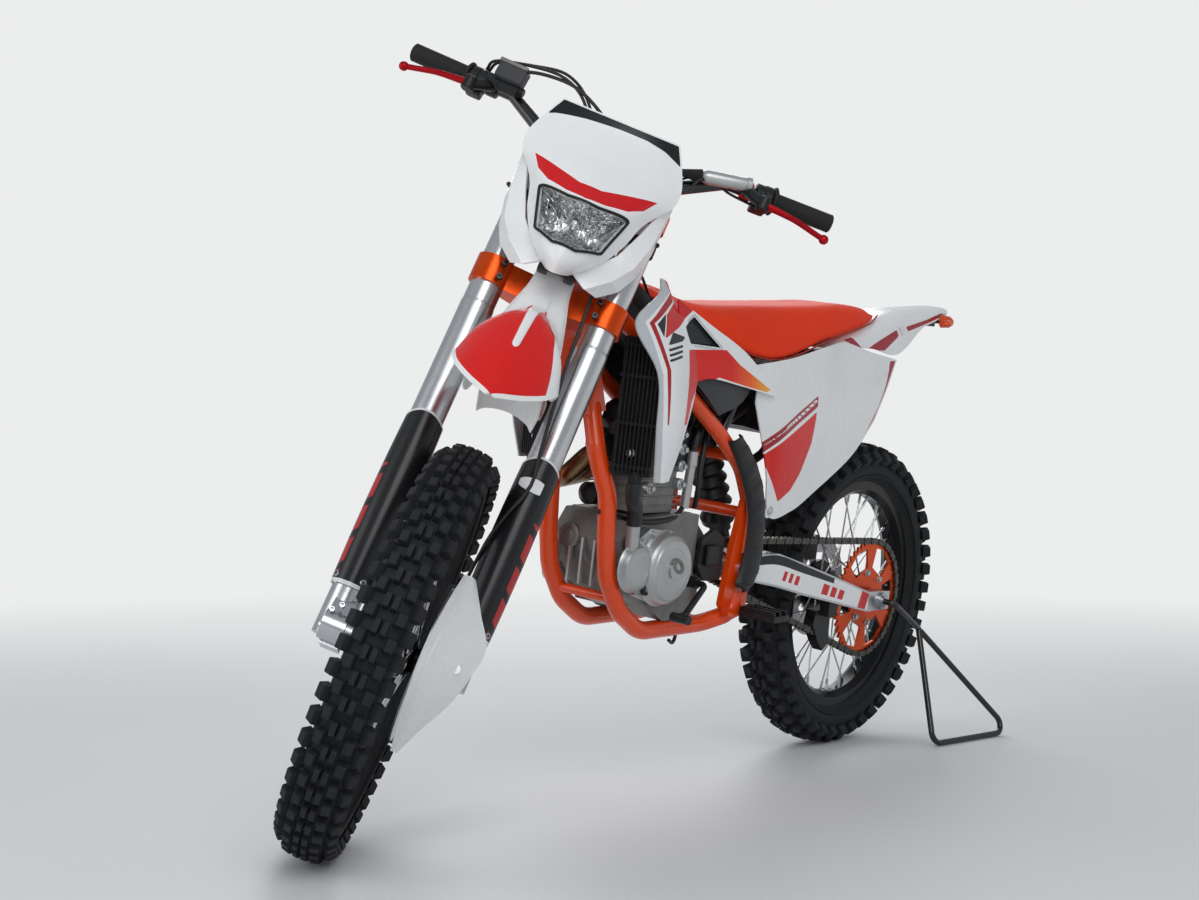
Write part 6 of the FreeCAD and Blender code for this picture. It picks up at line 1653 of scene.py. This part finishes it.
def fasteners():
    """The bolts that show: covers, sprocket, discs, clamps, lugs, guards and plastics."""
    out, right, ahead = (0, 1, 0), (0, -1, 0), (1, 0, 0)
    guard = [(cos(a), side * sin(a), 0) for side, _ in SIDES for a in GUARD_BOLT_TURNS]
    on_guard = [(LEG[0] + 31 * cos(a), side * (LEG[1] + 31 * sin(a)), 84) for side, _ in SIDES
                for a in GUARD_BOLT_TURNS]
    on_clamps = [(2, side * (LEG[1] - 18), z) for side, _ in SIDES for z in (652, 678, 866)]
    on_lugs = [(14, side * (LEG[1] - 6 + 12 * k), 34 - 12 * k) for side, _ in SIDES for k in (0, 1)]
    bolts("cover_bolts", flange_bolt(4.6, 6), COVER_BOLTS, out, CHASSIS)
    bolts("clutch_bolts", flange_bolt(4.6, 6), CLUTCH_BOLTS, right, CHASSIS)
    bolts("sprocket_bolts", flange_bolt(6.0, 7), ring_of(58, 6, 70.6, 0.3), out, REAR_SPUN)
    bolts("front_disc_bolts", cap_bolt(5.5, 4), ring_of(50, 6, 56.0, 0.2), out, FRONT_SPUN, "dark_steel")
    bolts("rear_disc_bolts", cap_bolt(5.5, 4), ring_of(56, 6, -64.0, 0.2), right, REAR_SPUN, "dark_steel")
    bolts("clamp_bolts", cap_bolt(5.5, 8), on_clamps, ahead, STEERED, "dark_steel")
    bolts("lug_bolts", cap_bolt(5.0, 7), on_lugs, (1, 0, 0.2), STEERED)
    bolts("guard_bolts", cap_bolt(5.5, 5), on_guard, guard, STEERED)
    bolts("panel_bolt", cap_bolt(9.0, 5), (PANEL_TAB[0], 110.5, PANEL_TAB[1]), out, CHASSIS)
    bolts("radiator_bolts", flange_bolt(7.0, 9), [(988, side * 108, 672) for side, _ in SIDES], ahead,
          CHASSIS)


# Engine trim, on the bike's frame

def generator_cover():
    """The left cover: a domed generator lid with an oval cap and ribs, and a smaller dome in front of it."""
    dome = turned([(94, 72), (96, 70), (100, 67), (110, 65.5), (116, 62), (121, 55), (122.5, 50), (122.5, 40),
                   (121, 38.5), (121, 30), (122.5, 28.5), (122.5, 0.1)], 96)
    piece("generator_lid", shifted(dome, (832, 0, 455)), CHASSIS, "cast_silver", smooth=30)
    turn = round_by(48)
    oval = np.stack((20 * np.cos(turn), 13 * np.sin(turn)), -1) @ [[0.87, 0.5], [-0.5, 0.87]]
    levels = [(1.0, 121), (1.0, 125.5), (0.92, 127), (0.5, 127), (0.46, 125.5), (0.03, 125.5)]
    points = np.concatenate([np.stack((824 + oval[:, 0] * k, np.full(48, y), 463 + oval[:, 1] * k), -1)
                             for k, y in levels])
    lid = [cells(len(levels), 48, round_columns=True)[:, ::-1], 240 + np.arange(48)[None, ::-1]]
    piece("inspection_cap", (points, lid), CHASSIS, "cast_bare", smooth=30)
    front = turned([(94, 46), (97, 43.5), (103, 42), (109, 39), (112.5, 31), (112.5, 22), (110.5, 20),
                    (110.5, 0.1)], 72)
    piece("front_lid", shifted(front, (922, 0, 460)), CHASSIS, "cast_silver", smooth=30)
    plug = turned([(110, 12), (116, 12), (117.5, 10.5), (117.5, 5), (115, 4), (115, 0.1)], 24)
    piece("timing_plug", shifted(plug, (886, -12, 420)), CHASSIS, "cast_black", smooth=35)
    # Ribs from the domes to the edge of the cover
    ends = [((770, 470), (790, 486)), ((858, 396), (850, 410)), ((914, 508), (896, 494)),
            ((820, 522), (824, 506)), ((938, 478), (930, 470))]
    shapes = [pipe([(a[0], 95, a[1]), (b[0], 104, b[1])], 4.0, 10) for a, b in ends]
    piece("cover_ribs", together(*shapes), CHASSIS, "cast_silver", smooth=60)


def engine_trim():
    """What sits on the engine: bolted bosses down its left side, the cam cover, starter and hoses."""
    boss = turned([(0, 11), (10, 11), (12, 9), (12, 0.1)], 28)
    places = [(x, 60, z) for x, z in ((778, 700), (772, 672), (770, 640), (768, 606), (860, 700), (862, 664),
                                      (864, 600))]
    level = np.broadcast_to(np.eye(3), (len(places), 3, 3))
    piece("head_bosses", copies(boss, level, places), CHASSIS, "cast_silver", smooth=35)
    bolts("head_bolts", flange_bolt(5.5, 7), np.array(places) + (0, 12, 0), (0, 1, 0), CHASSIS)
    # Fins of the cam cover and a gasket line round the barrel
    fin = [rounded_block((x, 0, 733), (2.2, 50, 17), 0.8, 5) for x in (776, 792, 808, 824, 840)]
    piece("cam_cover_fins", together(*fin), CHASSIS, "cast_black", smooth=50, slot="engine_dark")
    rings = [rounded_block((819, 0, z), (60.5, 62, 1.6), 0.9, 7) for z in (566, 582, 598, 614, 630)]
    piece("barrel_lines", together(*rings), CHASSIS, "cast_bare", smooth=50)
    tube = pipe([(742, 66, 560), (742, 68, 600), (741, 70, 640), (741, 70, 641), (741, 70, 668),
                 (741, 70, 670)], [9.0, 9, 9, 11, 11, 8], 24)
    piece("breather_tube", tube, CHASSIS, "cast_silver", smooth=40, slot="silver_metal")
    cable("breather_hose", [(741, 70, 668), (738, 72, 690), (722, 70, 716), (690, 62, 730), (655, 50, 730)],
          7.5, CHASSIS)
    cable("starter_lead", [(1000, 60, 560), (960, 76, 552), (900, 84, 542), (840, 82, 540), (780, 74, 546),
                           (736, 62, 566)], 5.0, CHASSIS)
    cable("wiring_loom", [(700, 60, 560), (712, 72, 590), (716, 74, 630), (705, 70, 676), (690, 60, 716),
                          (700, 46, 760)], 5.5, CHASSIS)
    cable("fuel_hose", [(720, 40, 704), (742, 62, 726), (748, 74, 756), (736, 78, 790), (720, 74, 822)], 5.0,
          CHASSIS)
    starter = pipe([(858, -30, 575), (858, -30, 577), (920, -30, 577), (922, -30, 577), (930, -30, 577)],
                   [18.0, 21, 21, 18, 8], 32)
    piece("starter_motor", starter, CHASSIS, "cast_black", smooth=35)
    plate = rounded_block((668, 92, 470), (22, 5, 20), 0.5)
    piece("sprocket_cap", plate, CHASSIS, "cast_black", smooth=60)
    cable("stand_hook", [(716, 58, 330), (712, 60, 312), (722, 62, 298), (736, 62, 304)], 3.5, CHASSIS,
          "enamel_black")


def silencer_trim():
    """Two straps and a black end ring round the silencer, worked along its axis."""
    start, end = np.array((344.5, -122, 722.3)), np.array((-40, -112, 846.0))
    ahead = unit(end - start)
    across = unit(np.cross(ahead, (0.0, 0.0, 1.0)))
    rise = np.cross(across, ahead)
    turn = round_by(64)
    shapes = []
    for d, wide in ((88, 9), (300, 9), (330, 14)):
        ring = []
        for step, grow in ((-wide, 0.4), (-wide, 1.8), (wide, 1.8), (wide, 0.4)):
            ring.append(start + ahead * (d + step) + np.outer(np.cos(turn) * (40 + grow), across)
                        + np.outer(np.sin(turn) * (46 + grow), rise))
        shapes.append((np.concatenate(ring), [cells(4, 64, True, True)]))
    piece("silencer_straps", together(*shapes[:2]), CHASSIS, "zinc_steel", smooth=35)
    piece("silencer_ring", shapes[2], CHASSIS, "cast_black", smooth=35)


# Stage and camera

CAMERA_FROM_REAR_AXLE = np.array([3.5866, 2.0906, 0.3022])
CAMERA_TURN = (-142.344, 0.202, -0.014)
CAMERA_LENS = 1838.3 / 1199 * 36.0
BACKDROP = "#ECEDED"
# Soft boxes: name, place, point faced and size in metres, power in watts
SOFT_BOXES = [
    ("key_box", (3.2, 3.4, 3.6), (0.0, 0.0, 0.5), (3.0, 3.0), 92),
    ("front_box", (4.2, -1.8, 2.2), (0.2, 0.0, 0.6), (2.4, 2.4), 36),
    ("back_box", (-3.0, -2.6, 3.0), (0.0, 0.0, 0.6), (2.6, 2.6), 62),
]


def floor():
    """A wide pale floor, a disc of rings. Away from the bike it takes the backdrop's colour, where the
    camera or a reflection sees it."""
    made, tree, spot = shader("pale_floor", Specular_IOR_Level=0.3)
    clouds = add(tree, "TexNoise", {"Vector": spot, "Scale": 0.8, "Detail": 4.0})
    near = settings().floor_colour
    tone = add(tree, "Mix", {0: clouds.outputs["Fac"], 6: shade(near, 0.96), 7: shade(near, 1.0)},
               data_type="RGBA")
    gloss = add(tree, "MapRange", {"Value": clouds.outputs["Fac"], "To Min": 0.42, "To Max": 0.6})
    dressed(made, tone.outputs[2], gloss.outputs["Result"])
    reach = add(tree, "VectorMath", {0: spot}, operation="LENGTH")
    far = add(tree, "MapRange", {"Value": reach.outputs["Value"], "From Min": 1.6, "From Max": 5.5},
              interpolation_type="SMOOTHSTEP")
    share = add(tree, "Math", {0: far.outputs["Result"],
                               1: seen(tree, "Is Transmission Ray", "Is Glossy Ray")}, operation="MULTIPLY")
    glow = add(tree, "Emission", {"Color": linear(BACKDROP), "Strength": 1.0})
    mixed = add(tree, "MixShader",
                {0: share.outputs[0], 1: tree.nodes["Principled BSDF"].outputs[0], 2: glow.outputs[0]})
    output = next(node for node in tree.nodes if node.bl_idname == "ShaderNodeOutputMaterial")
    tree.links.new(mixed.outputs[0], output.inputs["Surface"])
    radii = np.array([0.01, 2000.0, 8000.0, 30000.0])
    turn = round_by(96)[:, None]
    points = np.stack((radii * np.cos(turn), radii * np.sin(turn), np.full((96, 4), -0.4)), -1).reshape(-1, 3)
    mesh = bpy.data.meshes.new("studio_floor")
    mesh.from_pydata((points * MM).tolist(), [], cells(96, 4, True)[:, ::-1].tolist())
    mesh.materials.append(made)
    made_floor = linked("studio_floor", mesh)


def seen(tree, *rays):
    """One for a ray from the camera or of a given kind, nought for the light on the object."""
    path = add(tree, "LightPath")
    found = path.outputs["Is Camera Ray"]
    for kind in rays:
        found = add(tree, "Math", {0: found, 1: path.outputs[kind]}, operation="MAXIMUM").outputs[0]
    return found


def daylight():
    """A pale world that lights evenly, and shows near white to the camera and in reflections."""
    world = bpy.data.worlds.new("pale_studio")
    bpy.context.scene.world = world
    world.use_nodes = True
    tree = world.node_tree
    tree.nodes.clear()
    ambient = add(tree, "Background", {"Color": linear("#E9EEF4"), "Strength": 0.5})
    backdrop = add(tree, "Background", {"Color": linear(BACKDROP), "Strength": 1.0})
    mixed = add(tree, "MixShader",
                {0: seen(tree, "Is Transmission Ray"), 1: ambient.outputs[0], 2: backdrop.outputs[0]})
    output = add(tree, "OutputWorld")
    tree.links.new(mixed.outputs[0], output.inputs["Surface"])


def stand(made, turn, place):
    """Turns a lamp or a camera, and puts it in its place."""
    matrix = np.eye(4)
    matrix[:3, :3] = turn
    matrix[:3, 3] = place
    made.matrix_world = Matrix(matrix)


def lamp(name, place, target, size, power):
    """A square soft box that faces a point."""
    data = bpy.data.lights.new(name, "AREA")
    data.shape = "RECTANGLE"
    data.size, data.size_y = size
    data.energy = power
    stand(linked(name, data), facing(np.asarray(place, float) - np.asarray(target, float))[0], place)


def photo_camera():
    """The camera at the reference view's angle, from its place beside the rear axle."""
    data = bpy.data.cameras.new("photo_camera")
    data.sensor_width = 36.0
    data.lens = CAMERA_LENS
    data.clip_start, data.clip_end = 0.05, 80.0
    made = linked("photo_camera", data)
    yaw, pitch, roll = (radians(a) for a in CAMERA_TURN)
    ahead = np.array([cos(pitch) * cos(yaw), cos(pitch) * sin(yaw), sin(pitch)])
    right = unit(np.cross(ahead, [0.0, 0.0, 1.0]))
    up = np.cross(right, ahead)
    right, up = right * cos(roll) + up * sin(roll), up * cos(roll) - right * sin(roll)
    stand(made, np.column_stack((right, up, -ahead)),
          np.array(JOINTS["rear_wheel_spin"]["pos_m"]) + CAMERA_FROM_REAR_AXLE)
    bpy.context.scene.camera = made


# Settings, operators and panel

def length(name, description, default, least, most):
    """A length setting, from its default and limits in millimetres."""
    return FloatProperty(name=name, description=description, default=default * MM, min=least * MM,
                         max=most * MM, unit="LENGTH")


def colour(name, description, code):
    """A colour setting, from its default as a hex value."""
    return FloatVectorProperty(name=name, description=description, subtype="COLOR", min=0, max=1,
                               default=linear(code)[:3])


class MotorcycleSettings(bpy.types.PropertyGroup):
    """Sizes and colours that a user would change."""
    plastic_wall: length("Plastic wall", "Thickness of the moulded panels", 3.2, 1.5, 5)
    seat_rise: length("Seat rise", "How far the stretched cover may swell", 4.0, 0.0, 8)
    hose_radius: length("Brake hose radius", "Radius of the front brake hose", 3.2, 2, 5)
    spoke_radius: length("Spoke radius", "Radius of a wheel's spokes", 1.9, 1, 3)
    plastic_colour: colour("Plastic", "Colour of the moulded panels", "#F2F3F3")
    film_colour: colour("Film", "Main colour of the printed film", "#DE1008")
    frame_colour: colour("Frame", "Colour of the powder-coated frame", "#F04A0A")
    seat_colour: colour("Seat", "Colour of the seat cover", "#F83A04")
    floor_colour: colour("Floor", "Colour of the studio floor", "#E6E7E7")


def settings():
    """The scene's own copy of the settings."""
    return bpy.context.scene.motorcycle


class MOTORCYCLE_OT_finishes(bpy.types.Operator):
    """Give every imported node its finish"""
    bl_idname = "motorcycle.finishes"
    bl_label = "Frame and casting finishes"

    def execute(self, context):
        finish_nodes()
        return {"FINISHED"}


class MOTORCYCLE_OT_tyres(bpy.types.Operator):
    """Add both knobbed tyres"""
    bl_idname = "motorcycle.tyres"
    bl_label = "Tyres"

    def execute(self, context):
        tyre("front")
        tyre("rear")
        return {"FINISHED"}


class MOTORCYCLE_OT_wheels(bpy.types.Operator):
    """Add the hub barrels, the spokes and their nipples"""
    bl_idname = "motorcycle.wheels"
    bl_label = "Hubs and spokes"

    def execute(self, context):
        for which in WHEELS:
            hub_barrel(which)
            spokes(which)
        return {"FINISHED"}


class MOTORCYCLE_OT_chain(bpy.types.Operator):
    """Add the drive chain, link by link"""
    bl_idname = "motorcycle.chain"
    bl_label = "Drive chain"

    def execute(self, context):
        drive_chain()
        return {"FINISHED"}


class MOTORCYCLE_OT_mask(bpy.types.Operator):
    """Add the headlight with its mask"""
    bl_idname = "motorcycle.mask"
    bl_label = "Headlight and mask"

    def execute(self, context):
        mask_shield()
        mask_wings()
        mask_clip()
        headlight()
        return {"FINISHED"}


class MOTORCYCLE_OT_mudguards(bpy.types.Operator):
    """Add the front mudguard and the tail"""
    bl_idname = "motorcycle.mudguards"
    bl_label = "Mudguards"

    def execute(self, context):
        front_fender()
        rear_fender()
        return {"FINISHED"}


class MOTORCYCLE_OT_panels(bpy.types.Operator):
    """Add the radiator shrouds and the side panels"""
    bl_idname = "motorcycle.panels"
    bl_label = "Shrouds and side panels"

    def execute(self, context):
        shrouds()
        side_panels()
        return {"FINISHED"}


class MOTORCYCLE_OT_seat(bpy.types.Operator):
    """Add the saddle, foam under a stretched cover"""
    bl_idname = "motorcycle.seat"
    bl_label = "Seat"

    def execute(self, context):
        seat()
        return {"FINISHED"}


class MOTORCYCLE_OT_guards(bpy.types.Operator):
    """Add the guards of fork, disc and frame, and the film on the swing arm"""
    bl_idname = "motorcycle.guards"
    bl_label = "Guards and arm film"

    def execute(self, context):
        fork_guards()
        guard_clip()
        disc_guard()
        frame_guards()
        arm_film()
        return {"FINISHED"}


class MOTORCYCLE_OT_controls(bpy.types.Operator):
    """Add the grips, levers, cylinders and switches"""
    bl_idname = "motorcycle.controls"
    bl_label = "Controls"

    def execute(self, context):
        grips()
        hand_controls()
        hand_levers()
        return {"FINISHED"}


class MOTORCYCLE_OT_hoses(bpy.types.Operator):
    """Add the brake hose, the clutch line, the throttle cables and the wiring"""
    bl_idname = "motorcycle.hoses"
    bl_label = "Hoses and cables"

    def execute(self, context):
        hoses()
        return {"FINISHED"}


class MOTORCYCLE_OT_engine(bpy.types.Operator):
    """Add the engine's lids, ribs, bosses and hoses, and the silencer's straps"""
    bl_idname = "motorcycle.engine"
    bl_label = "Engine and silencer trim"

    def execute(self, context):
        generator_cover()
        case_ribs()
        engine_trim()
        silencer_trim()
        return {"FINISHED"}


class MOTORCYCLE_OT_fasteners(bpy.types.Operator):
    """Add the bolts that show"""
    bl_idname = "motorcycle.fasteners"
    bl_label = "Fasteners"

    def execute(self, context):
        fasteners()
        return {"FINISHED"}


class MOTORCYCLE_OT_stage(bpy.types.Operator):
    """Add the floor, the daylight, the soft boxes and the camera"""
    bl_idname = "motorcycle.stage"
    bl_label = "Studio"

    def execute(self, context):
        floor()
        daylight()
        for box in SOFT_BOXES:
            lamp(*box)
        photo_camera()
        context.scene.view_settings.view_transform = "Standard"
        return {"FINISHED"}


OPERATORS = (MOTORCYCLE_OT_finishes, MOTORCYCLE_OT_tyres, MOTORCYCLE_OT_wheels, MOTORCYCLE_OT_chain,
             MOTORCYCLE_OT_mask, MOTORCYCLE_OT_mudguards, MOTORCYCLE_OT_panels, MOTORCYCLE_OT_seat,
             MOTORCYCLE_OT_guards, MOTORCYCLE_OT_controls, MOTORCYCLE_OT_hoses, MOTORCYCLE_OT_engine,
             MOTORCYCLE_OT_fasteners, MOTORCYCLE_OT_stage)


class MOTORCYCLE_PT_panel(bpy.types.Panel):
    """Sidebar panel with the settings and one button for each group of pieces"""
    bl_idname = "MOTORCYCLE_PT_panel"
    bl_label = "Off-road motorcycle"
    bl_space_type = "VIEW_3D"
    bl_region_type = "UI"
    bl_category = "Motorcycle"

    def draw(self, context):
        for name in MotorcycleSettings.__annotations__:
            self.layout.prop(context.scene.motorcycle, name)
        for operator in OPERATORS:
            self.layout.operator(operator.bl_idname)


CLASSES = (MotorcycleSettings,) + OPERATORS + (MOTORCYCLE_PT_panel,)


def register():
    for made in CLASSES:
        bpy.utils.register_class(made)
    bpy.types.Scene.motorcycle = PointerProperty(type=MotorcycleSettings)


def unregister():
    del bpy.types.Scene.motorcycle
    for made in reversed(CLASSES):
        bpy.utils.unregister_class(made)


def main():
    register()
    for operator in OPERATORS:
        group, name = operator.bl_idname.split(".")
        getattr(getattr(bpy.ops, group), name)()
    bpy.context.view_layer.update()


if __name__ == "__main__":
    main()
